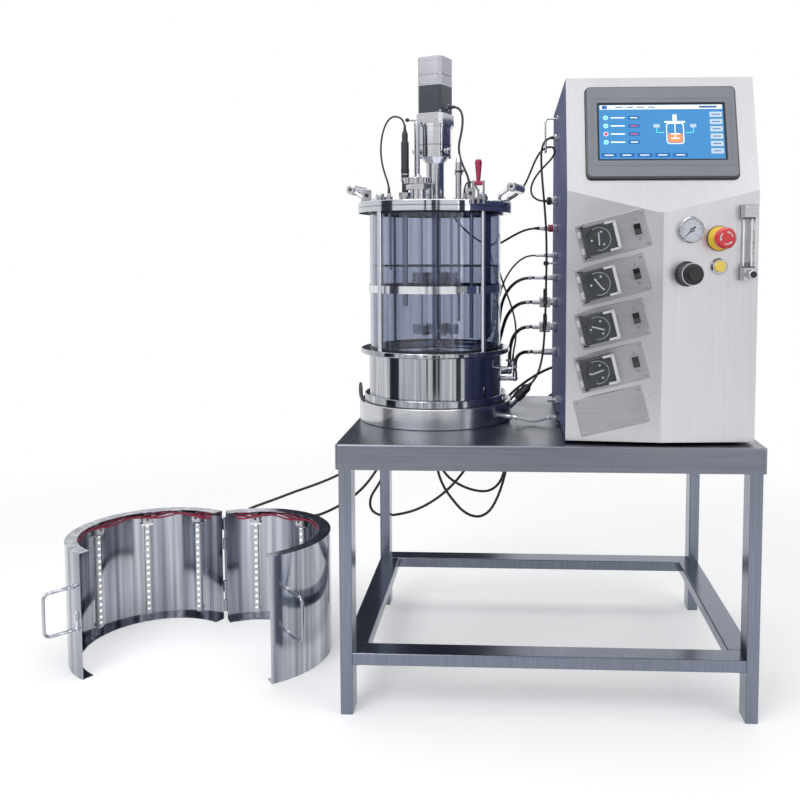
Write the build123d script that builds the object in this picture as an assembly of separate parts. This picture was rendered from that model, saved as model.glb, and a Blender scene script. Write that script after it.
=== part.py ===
from build123d import *
import math
import os

os.makedirs("parts", exist_ok=True)

# A bench bioreactor: a stainless stand, a stirred glass vessel and a control cabinet on it,
# and a two-leaf light jacket on the floor beside it.
# Sizes are millimetres. X runs right, Y to the back and Z up from the floor, and the stand's
# middle is the reference while modelling; the finished solids are moved to the origin at the end.

# Fits
fit_gap = 0.3
slide_gap = 0.5

# Stand
table_width = 832.0
table_depth = 620.0
table_height = 545.0
apron_height = 50.0
sheet = 1.5
pan_corner = 10.0
pan_edge = 4.0
leg_width = 25.0
leg_depth = 50.0
leg_inset = 6.0
tube_wall = 2.0
tube_corner = 3.0
rail_height = 25.0
rail_width = 50.0
rail_top = 126.0

# Vessel, on its own axis
vessel_x = -243.0
vessel_y = 0.0
base_radius = 171.0
base_height = 44.0
base_wall = 21.0
foot_flange_radius = 160.0
foot_flange_height = 16.0
jacket_radius = 149.0
jacket_height = 90.0
jacket_wall = 6.0
rim_radius = 167.0
rim_height = 11.0
dish_depth = 58.0
dish_wall = 3.0
glass_radius = 146.0
glass_wall = 5.0
glass_height = 298.0
hoop_thickness = 2.0
hoop_height = 16.0
hoop_above_rim = 124.0
rod_diameter = 10.0
rod_circle = 156.0
flange_radius = 171.0
flange_height = 12.0
lid_height = 11.0
nut_width = 17.0
nut_height = 9.0

# Lid handles
handle_rod = 7.0
handle_spread = 81.0
handle_grip = 21.0
handle_grip_length = 95.0
handle_rise = 31.0
handle_reach = 27.0
handle_circle = 158.0

# Stirrer and its drive
shaft_diameter = 16.0
impeller_radius = 52.0
blade_height = 22.0
blade_count = 6
bearing_radius = 20.0
bearing_height = 88.0
taper_radius = 31.5
taper_height = 13.0
adapter_radius = 36.0
adapter_height = 71.0
motor_size = 60.0
motor_chamfer = 7.0
motor_plate = 23.0
motor_height = 64.0
motor_cap_height = 61.0
motor_turn = -24.0

# Cabinet
cabinet_left = 33.0
cabinet_width = 364.0
cabinet_depth = 560.0
cabinet_height = 709.0
cabinet_lift = 6.0
cabinet_wall = 2.0
ridge_depth = 14.0
ridge_front = -293.0
slope_base = 484.0
slope_angle = 17.5
front_thickness = 4.0

# Operator panel
panel_width = 290.0
panel_height = 191.0
panel_depth = 9.0
panel_corner = 10.0
panel_lift = 22.0
window_width = 245.0
window_height = 119.0

# Pumps
pump_count = 4
pump_pitch = 84.5
pump_first = 398.0
pump_across = 87.5
pump_turn = 14.5
plate_width = 135.0
plate_height = 73.0
plate_thickness = 3.0
plate_corner = 4.0
head_width = 62.0
head_height = 56.0
head_depth = 20.0
head_offset = -28.0
rotor_radius = 21.0
rotor_depth = 12.0
rotor_disc = 2.5
roller_radius = 5.0
cover_depth = 6.0
rocker_width = 12.0
rocker_height = 20.0
rocker_tilt = 8.0

# Controls on the right face
gauge_radius = 25.0
gauge_depth = 14.0
estop_radius = 20.0
estop_travel = 5.0
button_radius = 15.0
button_travel = 3.0
knob_radius = 21.0
flow_block = 25.0
flow_length = 144.0
flow_bore = 8.0
float_radius = 5.0
float_height = 9.0

# Light jacket
leaf_radius = 194.0
leaf_height = 277.0
leaf_sheet = 1.5
leaf_lip = 26.0
leaf_gap = 1.0
hinge_x = -785.0
hinge_y = 150.0
leaf_left_angle = -121.2
leaf_right_angle = -58.9
strip_width = 12.0
strip_depth = 6.0


def at(x, y, z):
    return Location((x, y, z))


def block(width, depth, height, x=0.0, y=0.0, z=0.0, corner=0.0):
    """An upright block whose base is centred on x, y, z, with rounded upright edges."""
    outline = RectangleRounded(width, depth, corner) if corner else Rectangle(width, depth)
    return extrude(at(x, y, z) * outline, height)


def disc(radius, height, x=0.0, y=0.0, z=0.0, bore=0.0):
    """An upright cylinder or ring standing on x, y, z."""
    outline = Circle(radius)
    if bore:
        outline -= Circle(bore)
    return extrude(at(x, y, z) * outline, height)


def turned(points, round_by=0.0):
    """A solid turned about Z from its half profile, given as radius and height pairs."""
    outline = make_face(Polyline(*[(r, 0, z) for r, z in points], close=True))
    if round_by:
        corners = [v for v in outline.vertices() if v.X > 0.01]
        outline = fillet(corners, round_by)
    return revolve(outline, Axis.Z)


def rod(points, diameter, radius):
    """A round bar bent to one radius at each corner of its line."""
    line = FilletPolyline(*points, radius=radius)
    return sweep(Plane(origin=line @ 0, z_dir=line % 0) * Circle(diameter / 2), path=line)


def bar_between(start, end, diameter):
    """A straight round bar from one point to another."""
    line = Line(start, end)
    return sweep(Plane(origin=line @ 0, z_dir=line % 0) * Circle(diameter / 2), path=line)


def group(solids):
    """Several separate solids as one sub-part."""
    return Compound(children=[solid for piece in solids for solid in piece.solids()])


# Stand
def square_tube(width, height, length):
    """A rounded rectangular tube along Z from its middle."""
    outline = RectangleRounded(width, height, tube_corner)
    outline -= RectangleRounded(width - 2 * tube_wall, height - 2 * tube_wall, tube_corner / 2)
    return extrude(outline, length / 2, both=True)


leg_x = table_width / 2 - leg_inset - leg_width / 2
leg_y = table_depth / 2 - leg_inset - leg_depth / 2
table_under = table_height - sheet
table_bottom = table_height - apron_height


def make_table_top():
    pan = block(table_width, table_depth, apron_height, z=table_bottom, corner=pan_corner)
    pan = fillet(pan.faces().sort_by(Axis.Z)[-1].edges(), pan_edge)
    hollow = block(
        table_width - 2 * sheet,
        table_depth - 2 * sheet,
        apron_height - sheet,
        z=table_bottom,
        corner=pan_corner - sheet,
    )
    return pan - hollow


def make_stand_frame():
    bars = []
    for side_x in (-1, 1):
        for side_y in (-1, 1):
            leg = square_tube(leg_width, leg_depth, table_under)
            foot = block(leg_width, leg_depth, tube_wall, z=-table_under / 2, corner=tube_corner)
            bars.append(Pos(side_x * leg_x, side_y * leg_y, table_under / 2) * (leg + foot))
    rail_z = rail_top - rail_height / 2
    for side in (-1, 1):
        cross = square_tube(rail_height, rail_width, 2 * leg_x - leg_width)
        bars.append(Pos(0, side * leg_y, rail_z) * Rot(0, 90, 0) * cross)
        length = square_tube(rail_width, rail_height, 2 * leg_y - leg_depth)
        rail_x = side * (leg_x + leg_width / 2 - rail_width / 2)
        bars.append(Pos(rail_x, 0, rail_z) * Rot(90, 0, 0) * length)
    return group(bars)


# Vessel
base_top = table_height + base_height
foot_flange_top = base_top + foot_flange_height
jacket_top = foot_flange_top + jacket_height
rim_top = jacket_top + rim_height
glass_top = rim_top + glass_height
flange_top = glass_top + flange_height
lid_top = flange_top + lid_height
vessel = Pos(vessel_x, vessel_y, 0)


def around(radius, degrees, z):
    """A point round the vessel's axis; 0 degrees is +X and 90 is the back."""
    turn = math.radians(degrees)
    return Vector(vessel_x + radius * math.cos(turn), vessel_y + radius * math.sin(turn), z)


# Upturned hose elbows round the lower jacket: angle, rise above the foot flange and hose diameter
elbow_circle = 180.0
elbow_rise = 16.0
elbow_wall = 1.5
jacket_ports = {
    "thin": (76.0, 50.0, 4.0),
    "upper": (58.0, 50.0, 7.0),
    "supply": (40.0, 45.0, 8.0),
    "return": (22.0, 35.0, 8.0),
    "side": (4.0, 27.0, 8.0),
    "sensor": (-14.0, 57.0, 4.0),
}
socket_y = -12.0
socket_turn = 45.0
socket_length = 16.0
gland_length = 12.0


def socket_start():
    """Where the base's tilted power socket leaves the ring."""
    return Vector(vessel_x + base_radius - 6.0, socket_y, base_top - 16.0)


def socket_direction():
    turn = math.radians(socket_turn)
    return Vector(math.cos(turn), 0, math.sin(turn))


def make_vessel_base():
    ring = turned(
        [
            (0, base_top - 6),
            (base_radius - base_wall, base_top - 6),
            (base_radius - base_wall, table_height),
            (base_radius, table_height),
            (base_radius, base_top),
            (0, base_top),
        ]
    )
    rims = [e for e in ring.edges().filter_by(GeomType.CIRCLE) if abs(e.radius - base_radius) < 0.1]
    ring = vessel * chamfer(rims, 1.5)
    start = socket_start()
    ring += bar_between(start, start + socket_direction() * (socket_length + 8), 18)
    gland = vessel * Pos(0, base_radius - 4, table_height + base_height / 2)
    ring += gland * Rot(-90, 0, 0) * disc(7, gland_length + 4)
    drain = around(base_radius - 4, -22, table_height + 14)
    outward = Vector(math.cos(math.radians(-22)), math.sin(math.radians(-22)), 0)
    ring += bar_between(drain, drain + outward * 18, 14)
    return ring


def dish_arc(radius, low, high):
    """The half profile of a round dish: it lies flat at the axis and meets its edge at high."""
    depth = high - low
    sphere = (radius**2 + depth**2) / (2 * depth)
    middle = radius / 2
    rise = sphere - math.sqrt(sphere**2 - middle**2)
    return ThreePointArc((0, 0, low), (middle, 0, low + rise), (radius, 0, high))


def make_vessel_bottom():
    dish_low = rim_top - dish_depth
    inner = glass_radius - 10
    skin = jacket_radius - jacket_wall
    outline = Polyline(
        (0, 0, dish_low),
        (0, 0, dish_low - dish_wall),
    )
    outline += dish_arc(skin, dish_low - dish_wall, rim_top - 16)
    outline += Polyline(
        (skin, 0, rim_top - 16),
        (skin, 0, base_top + 6),
        (skin - 22, 0, base_top + 6),
        (skin - 22, 0, base_top),
        (foot_flange_radius, 0, base_top),
        (foot_flange_radius, 0, foot_flange_top),
        (jacket_radius, 0, foot_flange_top),
        (jacket_radius, 0, jacket_top),
        (rim_radius, 0, jacket_top),
        (rim_radius, 0, rim_top),
        (inner, 0, rim_top),
        (inner, 0, rim_top - 14),
    )
    outline += dish_arc(inner, dish_low, rim_top - 14)
    bowl = revolve(make_face(outline), Axis.Z)
    lips = [
        e
        for e in bowl.edges().filter_by(GeomType.CIRCLE)
        if e.radius > jacket_radius + 1 and e.center().Z > base_top + 1
    ]
    return vessel * fillet(lips, 2.5)


def make_hose_elbow(angle, rise, bore):
    """An upturned elbow that stands on the jacket's wall and takes one hose."""
    height = foot_flange_top + rise
    root = around(jacket_radius + fit_gap, angle, height)
    bend = around(elbow_circle, angle, height)
    outside = bore + 2 * elbow_wall
    elbow = bar_between(root, bend, outside) + Pos(bend) * Sphere(outside / 2 + 1)
    return elbow + Pos(bend) * disc(outside / 2, elbow_rise)


def make_glass_cylinder():
    return vessel * disc(glass_radius, glass_height, z=rim_top, bore=glass_radius - glass_wall)


def make_glass_hoop():
    inner = glass_radius + fit_gap
    return vessel * disc(inner + hoop_thickness, hoop_height, z=rim_top + hoop_above_rim, bore=inner)


def make_tie_rods():
    pieces = []
    for angle in (45, 135, 225, 315):
        foot = around(rod_circle, angle, rim_top)
        pieces.append(Pos(foot) * disc(rod_diameter / 2, glass_height))
        nut = extrude(RegularPolygon(nut_width / 2, 6, major_radius=False), nut_height)
        dome = turned([(0, nut_height), (7.5, nut_height), (7.5, nut_height + 4), (0, nut_height + 11)])
        pieces.append(Pos(foot.X, foot.Y, lid_top) * (nut + dome))
    return group(pieces)


def make_flange_ring():
    ring = disc(flange_radius, flange_height - 1, z=glass_top, bore=glass_radius - 8)
    ring += disc(flange_radius - 4, 1, z=flange_top - 1, bore=glass_radius - 8)
    return vessel * ring


def make_lid():
    plate = disc(flange_radius, lid_height, z=flange_top, bore=shaft_diameter / 2 + slide_gap)
    top = plate.edges().filter_by(GeomType.CIRCLE).group_by(Axis.Z)[-1]
    outer = [edge for edge in top if edge.radius > flange_radius - 1]
    return vessel * fillet(outer, 2)


def make_lid_handles():
    handles = []
    for angle in (-13.0, 167.0):
        legs = []
        for side in (-1, 1):
            along = side * handle_spread / 2
            legs.append(
                rod(
                    [
                        (handle_circle, along, lid_top),
                        (handle_circle, along, lid_top + handle_rise * 0.42),
                        (handle_circle + handle_reach, along, lid_top + handle_rise),
                    ],
                    handle_rod,
                    8,
                )
            )
        grip = Rot(90, 0, 0) * extrude(Circle(handle_grip / 2), handle_grip_length / 2, both=True)
        grip = fillet(grip.edges().filter_by(GeomType.CIRCLE), 3)
        grip = Pos(handle_circle + handle_reach, 0, lid_top + handle_rise) * grip
        handles.append(vessel * Rot(0, 0, angle) * (grip + legs[0] + legs[1]))
    return group(handles)


# Lid fittings
def on_lid(x, y):
    """A place on the lid, measured from the vessel's axis."""
    return Pos(vessel_x + x, vessel_y + y, lid_top)


union_place = (-28.0, -100.0)
probe_place = (-61.0, -60.0)
nut_places = [(-107.0, -90.0), (-91.0, -100.0)]
block_places = [(-147.0, -40.0), (84.0, -100.0)]
sleeve_place = (-38.0, -30.0)
sample_place = (57.0, -90.0)
cable_port_place = (112.0, 88.0)
rear_port_places = [(0.0, 122.0), (60.0, 112.0)]
union_radius = 31.0
union_neck = 23.0
union_nut = 46.0
union_nut_height = 11.0
union_seal = 1.0
cap_height = 13.0
probe_radius = 8.5
probe_head = 102.0
probe_port_height = 20.0
probe_neck = 32.0
block_size = 19.0
block_height = 27.0
toggle_x = 101.6
toggle_front = 152.0
toggle_pivot = 33.0
toggle_gap = 8.5
toggle_bar = 5.0
grip_length = 40.0


def hex_nut(width, height):
    return extrude(RegularPolygon(width / 2, 6, major_radius=False), height)


def make_toggle_base():
    """The clamp's plates on the lid's front edge, with the pin that carries the lever."""
    front = -toggle_front
    foot = block(30, 30, 4, y=front + 15)
    plates = foot
    for side in (-1, 1):
        along = side * (toggle_gap + toggle_bar / 2)
        plate = block(toggle_bar, 8, toggle_pivot + 14, x=along, y=front, z=-9, corner=1)
        plates += plate
    plates += block(toggle_bar, 4, 30, y=front - 2, z=-9)
    pin = Pos(0, front, toggle_pivot) * Rot(0, 90, 0) * extrude(Circle(2), toggle_gap + 4, both=True)
    return on_lid(toggle_x, 0) * (plates + pin)


def make_toggle_lever():
    hub = Rot(0, 90, 0) * extrude(Circle(5) - Circle(2 + fit_gap), toggle_gap - slide_gap, both=True)
    neck = block(8, 6, 6, z=4)
    tip = 8 + grip_length
    grip = turned([(0, 8), (4.5, 8), (7.5, tip - 5), (5.5, tip), (0, tip)])
    return on_lid(toggle_x, -toggle_front) * Pos(0, 0, toggle_pivot) * (hub + neck + grip)


def make_lid_ports():
    pieces = []
    union = disc(17, union_neck) + Pos(0, 0, union_neck) * hex_nut(union_nut, union_nut_height)
    cap_low = union_neck + union_nut_height + union_seal
    cap = disc(union_radius, cap_height, z=cap_low)
    cap_middle = cap_low + cap_height / 2 - 0.5
    knurls = [
        spot * Pos(0, 0, cap_middle) * Cylinder(1.6, cap_height + 1)
        for spot in PolarLocations(union_radius, 24)
    ]
    cap = fillet(cap.edges().filter_by(GeomType.CIRCLE), 1.5) - knurls
    pieces.append(on_lid(*union_place) * (union + disc(20, union_seal + 0.5, z=cap_low - 1.2) + cap))
    pieces.append(on_lid(*probe_place) * (disc(13, probe_port_height - 8) + Pos(0, 0, 12) * hex_nut(24, 8)))
    for place in nut_places:
        pieces.append(on_lid(*place) * (hex_nut(14, 9) + disc(4.5, 16)))
    for place in block_places:
        body = block(block_size, block_size, block_height, corner=2)
        bore = Pos(0, -block_size / 2, 15) * Rot(90, 0, 0) * extrude(Circle(4.5), -3)
        pieces.append(on_lid(*place) * (body - bore))
    pieces.append(on_lid(*sleeve_place) * turned([(0, 0), (6.5, 0), (6.5, 172), (4.5, 178), (0, 178)]))
    sample = turned(
        [(0, 0), (12, 0), (12, 5), (6.5, 5), (6.5, 82), (3, 97), (0, 97)]
    )
    pieces.append(on_lid(*sample_place) * sample)
    side_port = disc(9, 9) + Pos(0, 0, 9) * Rot(0, 90, 0) * extrude(Circle(5), 15)
    pieces.append(on_lid(*cable_port_place) * side_port)
    for place in rear_port_places:
        pieces.append(on_lid(*place) * (hex_nut(18, 12) + disc(5, 30)))
    pieces.append(make_toggle_base())
    return group(pieces)


def make_ph_probe():
    foot = probe_port_height
    neck = turned([(0, foot), (7, foot), (7, foot + probe_neck), (0, foot + probe_neck)])
    top = foot + probe_neck + probe_head
    head = turned(
        [
            (0, foot + probe_neck),
            (probe_radius, foot + probe_neck),
            (probe_radius, top - 26),
            (probe_radius - 2, top - 22),
            (probe_radius - 2, top - 8),
            (probe_radius - 4.5, top),
            (0, top),
        ]
    )
    return on_lid(*probe_place) * (neck + head)


# Stirrer and drive
taper_bottom = lid_top + bearing_height
adapter_bottom = taper_bottom + taper_height
plate_bottom = adapter_bottom + adapter_height
motor_bottom = plate_bottom + motor_plate
motor_top = motor_bottom + motor_height
shaft_bore = shaft_diameter / 2 + slide_gap


def motor_outline(size):
    return chamfer(Rectangle(size, size).vertices(), motor_chamfer)


def make_stirrer_mount():
    neck = turned(
        [
            (shaft_bore, lid_top),
            (bearing_radius + 6, lid_top),
            (bearing_radius + 6, lid_top + 6),
            (bearing_radius, lid_top + 6),
            (bearing_radius, taper_bottom),
            (taper_radius, adapter_bottom),
            (adapter_radius, adapter_bottom),
            (adapter_radius, plate_bottom - 5),
            (adapter_radius + 2.5, plate_bottom - 5),
            (adapter_radius + 2.5, plate_bottom),
            (shaft_bore, plate_bottom),
        ]
    )
    seat = at(0, 0, plate_bottom) * Rot(0, 0, motor_turn)
    plate = extrude(seat * motor_outline(motor_size + 6), motor_plate)
    plate -= disc(shaft_bore, motor_plate, z=plate_bottom)
    mount = neck + plate
    for angle in (198, 310):
        screw = extrude(Circle(2.5), adapter_radius + 6) + Pos(0, 0, adapter_radius + 6) * Cylinder(
            6.5, 6, align=(Align.CENTER, Align.CENTER, Align.MIN)
        )
        screw -= Cylinder(3, 2 * (shaft_bore + 6))
        mount += Pos(0, 0, adapter_bottom + 12) * Rot(0, 0, angle) * Rot(0, 90, 0) * screw
    lever = Pos(0, 0, 30) * (Cylinder(2.5, 50, align=(Align.CENTER, Align.CENTER, Align.MIN)))
    mount += Pos(0, 0, plate_bottom + 9) * Rot(0, 0, 205) * Rot(0, 90, 0) * Pos(0, 0, -18) * lever
    return vessel * mount


def make_motor_body():
    body = extrude(at(0, 0, motor_bottom) * Rot(0, 0, motor_turn) * motor_outline(motor_size), motor_height)
    gland = Pos(0, 0, motor_bottom + 15) * Rot(0, 0, motor_turn) * Pos(motor_size / 2 - 1, 0, 0)
    body += gland * Rot(0, 90, 0) * Cylinder(5.5, 9, align=(Align.CENTER, Align.CENTER, Align.MIN))
    return vessel * body


def make_motor_cap():
    turn = Rot(0, 0, motor_turn)
    seam = 22.0
    low = extrude(at(0, 0, motor_top) * turn * motor_outline(motor_size), seam - 1.5)
    neck = extrude(at(0, 0, motor_top + seam - 1.5) * turn * motor_outline(motor_size - 3), 1.5)
    high = extrude(at(0, 0, motor_top + seam) * turn * motor_outline(motor_size), motor_cap_height - seam)
    high = fillet(high.faces().sort_by(Axis.Z)[-1].edges(), 3)
    return vessel * (low + neck + high)


impeller_heights = [rim_top + 39.0, rim_top + 156.0]
shaft_below = 26.0
hub_radius = 14.0


def make_stirrer():
    low = impeller_heights[0] - shaft_below
    top = motor_bottom - slide_gap
    shaft = disc(shaft_diameter / 2, top - low, z=low)
    for height in impeller_heights:
        shaft += disc(hub_radius, blade_height, z=height - blade_height / 2)
        shaft += disc(impeller_radius - hub_radius, 3, z=height - 1.5)
        blade = Pos(impeller_radius - 13, 0, height) * Box(26, 2.5, blade_height)
        for index in range(blade_count):
            shaft += Rot(0, 0, index * 360 / blade_count) * blade
    return vessel * shaft


# Dip pipes under the lid: place, end above the glass's foot, and diameter
dip_pipes = [
    (-61.0, -60.0, 94.0, 12.0),
    (57.0, -90.0, 64.0, 6.0),
    (84.0, -100.0, 29.0, 8.0),
    (-88.0, -97.0, 174.0, 6.0),
]
sparger_drop = 14.0
sparger_radius = 36.0
sparger_pipe = 8.0
sparger_feed = 108.0
baffle_width = 14.0
baffle_sheet = 2.0
baffle_circle = 126.0
baffle_rise = 18.0


def make_vessel_internals():
    """Dip pipes, the ring sparger and the baffles, all hung from the lid's underside."""
    pieces = []
    for x, y, rise, size in dip_pipes:
        low = rim_top + rise
        pieces.append(Pos(vessel_x + x, vessel_y + y, low) * disc(size / 2, flange_top - low))
    ring_z = rim_top - sparger_drop
    feed = [(0, sparger_feed, flange_top), (0, sparger_feed, ring_z), (0, 30, ring_z)]
    ring = Pos(0, 0, ring_z) * Torus(sparger_radius, sparger_pipe / 2)
    pieces.append(vessel * (rod(feed, sparger_pipe, 20) + ring))
    baffle_low = rim_top + baffle_rise
    for angle in (20, 110, 200, 290):
        strip = block(baffle_width, baffle_sheet, flange_top - baffle_low, x=baffle_circle, z=baffle_low)
        pieces.append(vessel * Rot(0, 0, angle) * strip)
    return group(pieces)


# Cabinet
cabinet_bottom = table_height + cabinet_lift
cabinet_right = cabinet_left + cabinet_width
cabinet_middle = cabinet_left + cabinet_width / 2
cabinet_edge = ridge_front + ridge_depth
cabinet_back = ridge_front + cabinet_depth
cabinet_top = cabinet_bottom + cabinet_height
half_width = cabinet_width / 2
slope = math.radians(slope_angle)

left_face = Plane(
    origin=(cabinet_left + half_width / 2, (cabinet_edge + ridge_front) / 2, cabinet_bottom),
    x_dir=(half_width, -ridge_depth, 0),
    z_dir=(-ridge_depth, -half_width, 0),
)
right_face = Plane(
    origin=(cabinet_right - half_width / 2, (cabinet_edge + ridge_front) / 2, cabinet_bottom),
    x_dir=(half_width, ridge_depth, 0),
    z_dir=(ridge_depth, -half_width, 0),
)
slope_face = Plane(
    origin=(cabinet_middle, cabinet_edge, cabinet_bottom + slope_base),
    x_dir=(1, 0, 0),
    z_dir=(0, -math.cos(slope), math.sin(slope)),
)


def cabinet_volume(inset, setback):
    """The cabinet's volume, its walls moved in by one amount and its front moved back."""
    left = cabinet_left + inset
    right = cabinet_right - inset
    spread = (half_width - inset) / half_width * ridge_depth
    ridge = ridge_front + setback
    plan = Polyline(
        (left, ridge + spread),
        (cabinet_middle, ridge),
        (right, ridge + spread),
        (right, cabinet_back - inset),
        (left, cabinet_back - inset),
        close=True,
    )
    height = cabinet_height - 2 * inset
    body = extrude(at(0, 0, cabinet_bottom + inset) * make_face(plan), height)
    rise = cabinet_height - slope_base
    front = cabinet_edge + setback
    drop = 3 * ridge_depth
    wedge = Polyline(
        (0, front + rise * math.tan(slope), cabinet_top),
        (0, front - drop * math.tan(slope), cabinet_top - rise - drop),
        (0, front - 4 * ridge_depth, cabinet_top - rise - drop),
        (0, front - 4 * ridge_depth, cabinet_top + 1),
        (0, front + (rise + 1) * math.tan(slope), cabinet_top + 1),
        close=True,
    )
    return body - Pos(cabinet_left - 1, 0, 0) * extrude(make_face(wedge), cabinet_width + 2, dir=(1, 0, 0))


# Cable glands in the back: distance from the left side and rise above the bottom
rear_glands = {"jacket_a": (47.0, 74.0), "jacket_b": (99.0, 37.0), "heater": (151.0, 15.0)}


def make_cabinet_shell():
    shell = cabinet_volume(0, front_thickness) - cabinet_volume(cabinet_wall, front_thickness)
    for x in (cabinet_left + 35, cabinet_right - 35):
        for y in (cabinet_edge + 45, cabinet_back - 40):
            shell += disc(15, cabinet_lift, x=x, y=y, z=table_height)
    for x, rise in rear_glands.values():
        place = Pos(cabinet_left + x, cabinet_back, cabinet_bottom + rise)
        shell += place * Rot(-90, 0, 0) * disc(8, gland_length)
    return shell


def make_cabinet_front():
    return cabinet_volume(0, 0) - cabinet_volume(0, front_thickness)


def make_operator_panel():
    middle = panel_height / 2 + panel_lift
    panel = extrude(RectangleRounded(panel_width, panel_height, panel_corner), panel_depth)
    panel = fillet(panel.faces().sort_by(Axis.Z)[-1].edges(), 3)
    panel -= Pos(0, 0, panel_depth - 2) * extrude(RectangleRounded(window_width, window_height, 3), 3)
    return slope_face.location * Pos(0, middle, 0) * panel


# Pumps
def pump_place(step):
    """Where one pump plate lies on the left front face, counted from the top."""
    spot = Pos(pump_across - half_width / 2, pump_first - step * pump_pitch, 0)
    return left_face.location * spot * Rot(0, 0, pump_turn)


head_top = plate_thickness + head_depth
rotor_floor = head_top - rotor_depth - 2
cover_edge = head_offset - head_width / 2
cover_hinge = head_top + fit_gap + cover_depth / 2
cover_height = head_height - 1
rocker_across = 47.0
rocker_pivot = plate_thickness + 4.0
latch_width = 6.0


def make_pump_plates():
    """Four pump plates with their switch frames, and the blank plate under them."""
    plates = []
    for step in range(pump_count + 1):
        plate = extrude(RectangleRounded(plate_width, plate_height, plate_corner), plate_thickness)
        plate = chamfer(plate.faces().sort_by(Axis.Z)[-1].edges(), 0.6)
        if step < pump_count:
            frame = RectangleRounded(rocker_width + 6, rocker_height + 6, 2)
            frame -= Rectangle(rocker_width + 2 * slide_gap, rocker_height + 2 * slide_gap)
            plate += Pos(rocker_across, 0, plate_thickness) * extrude(frame, 4.5)
        plates.append(pump_place(step) * plate)
    return group(plates)


def make_pump_heads():
    heads = []
    for step in range(pump_count):
        head = extrude(Pos(head_offset, 0) * RectangleRounded(head_width, head_height, 3), head_depth)
        well = Pos(head_offset, 0, rotor_floor - plate_thickness)
        head -= well * extrude(Circle(rotor_radius + 1.5), head_depth)
        for side in (-1, 1):
            tube_way = Pos(cover_edge, side * 16, rotor_floor - plate_thickness + 5)
            head -= tube_way * Rot(0, 90, 0) * extrude(Circle(3), head_width / 2 - 6)
            ear = Box(7, 2.5, 14, align=(Align.CENTER, Align.CENTER, Align.MAX))
            reach = side * (head_height / 2 + 1.25)
            head += Pos(cover_edge + 4, reach, cover_hinge + 2.5 - plate_thickness) * ear
            clamp = Pos(cover_edge - 3, side * 16, 0) * extrude(RectangleRounded(6, 11, 1.5), head_depth - 4)
            clamp -= Pos(cover_edge - 8, side * 16, rotor_floor + 2) * Rot(0, 90, 0) * extrude(Circle(3), 10)
            head += clamp
        heads.append(pump_place(step) * Pos(0, 0, plate_thickness) * head)
    return group(heads)


def make_pump_rotor(step):
    foot = rotor_floor + fit_gap
    span = rotor_depth - 2 * rotor_disc
    rotor = disc(rotor_radius, rotor_disc, z=foot) + disc(8, span, z=foot + rotor_disc)
    for spot in PolarLocations(rotor_radius - roller_radius - 0.5, 3):
        rotor += spot * disc(roller_radius, span, z=foot + rotor_disc)
    rotor += disc(rotor_radius, rotor_disc, z=foot + rotor_disc + span)
    rotor -= Pos(0, 0, foot + rotor_depth - 1) * extrude(RectangleRounded(16, 3, 1.4), 2)
    return pump_place(step) * Pos(head_offset, 0, 0) * rotor


def make_pump_cover(step):
    """A clear cover hinged at its left edge, with the latch bar that closes it on the right."""
    base = head_top + fit_gap
    middle = cover_edge + head_width / 2
    lid_plate = extrude(at(middle, 0, base) * RectangleRounded(head_width, cover_height, 3), cover_depth)
    top = lid_plate.faces().sort_by(Axis.Z)[-1]
    lid_plate = fillet(top.edges(), 1.2)
    edge = head_offset + head_width / 2 + slide_gap
    latch = Pos(edge + latch_width / 2, 0, base + cover_depth) * Box(
        latch_width, 36, cover_depth + 14, align=(Align.CENTER, Align.CENTER, Align.MAX)
    )
    bridge = Pos(edge - 3, 0, base) * Box(12, 36, cover_depth, align=(Align.CENTER, Align.CENTER, Align.MIN))
    return pump_place(step) * (lid_plate + bridge + latch)


def make_pump_switch(step):
    profile = make_face(
        Polyline(
            (0, -rocker_height / 2 + 0.3, -1.5),
            (0, rocker_height / 2 - 0.3, -1.5),
            (0, rocker_height / 2 - 0.3, 4.5),
            (0, 0, 2.5),
            (0, -rocker_height / 2 + 0.3, 4.5),
            close=True,
        )
    )
    rocker = Pos(-rocker_width / 2, 0, 0) * extrude(profile, rocker_width, dir=(1, 0, 0))
    return pump_place(step) * Pos(rocker_across, 0, rocker_pivot) * Rot(-rocker_tilt, 0, 0) * rocker


# Controls on the right face
gauge_spot = (-40.0, 408.0)
estop_spot = (15.0, 392.0)
button_spot = (15.0, 339.0)
regulator_spot = (-46.0, 325.0)
flow_spot = (67.0, 312.0)
flow_axis = 15.0
dial_floor = gauge_depth - 4.0
estop_collar = 24.0
button_face = 7.0
regulator_collar = 11.0
regulator_length = 45.0


def on_right(spot, rise=0.0):
    return right_face.location * Pos(spot[0], spot[1], rise)


def make_gauge_case():
    inner = gauge_radius - 3
    case = turned(
        [
            (0, 0),
            (gauge_radius, 0),
            (gauge_radius, gauge_depth - 2),
            (gauge_radius - 1.5, gauge_depth),
            (inner, gauge_depth),
            (inner, dial_floor),
            (1.8, dial_floor),
            (1.8, dial_floor + 2.5),
            (0, dial_floor + 2.5),
        ]
    )
    return on_right(gauge_spot) * case


def make_gauge_needle():
    hub = Circle(4) - Circle(1.8 + fit_gap)
    arm = Polyline((2.2, -1.2), (2.2, 1.2), (gauge_radius - 7, 0.35), (gauge_radius - 7, -0.35), close=True)
    tail = Pos(-5.4, 0) * Rectangle(7, 2.6)
    needle = extrude(hub + make_face(arm) - Circle(1.8 + fit_gap), 0.8) + extrude(tail - Circle(3), 0.8)
    return on_right(gauge_spot, dial_floor + 0.6) * Rot(0, 0, 225) * needle


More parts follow.
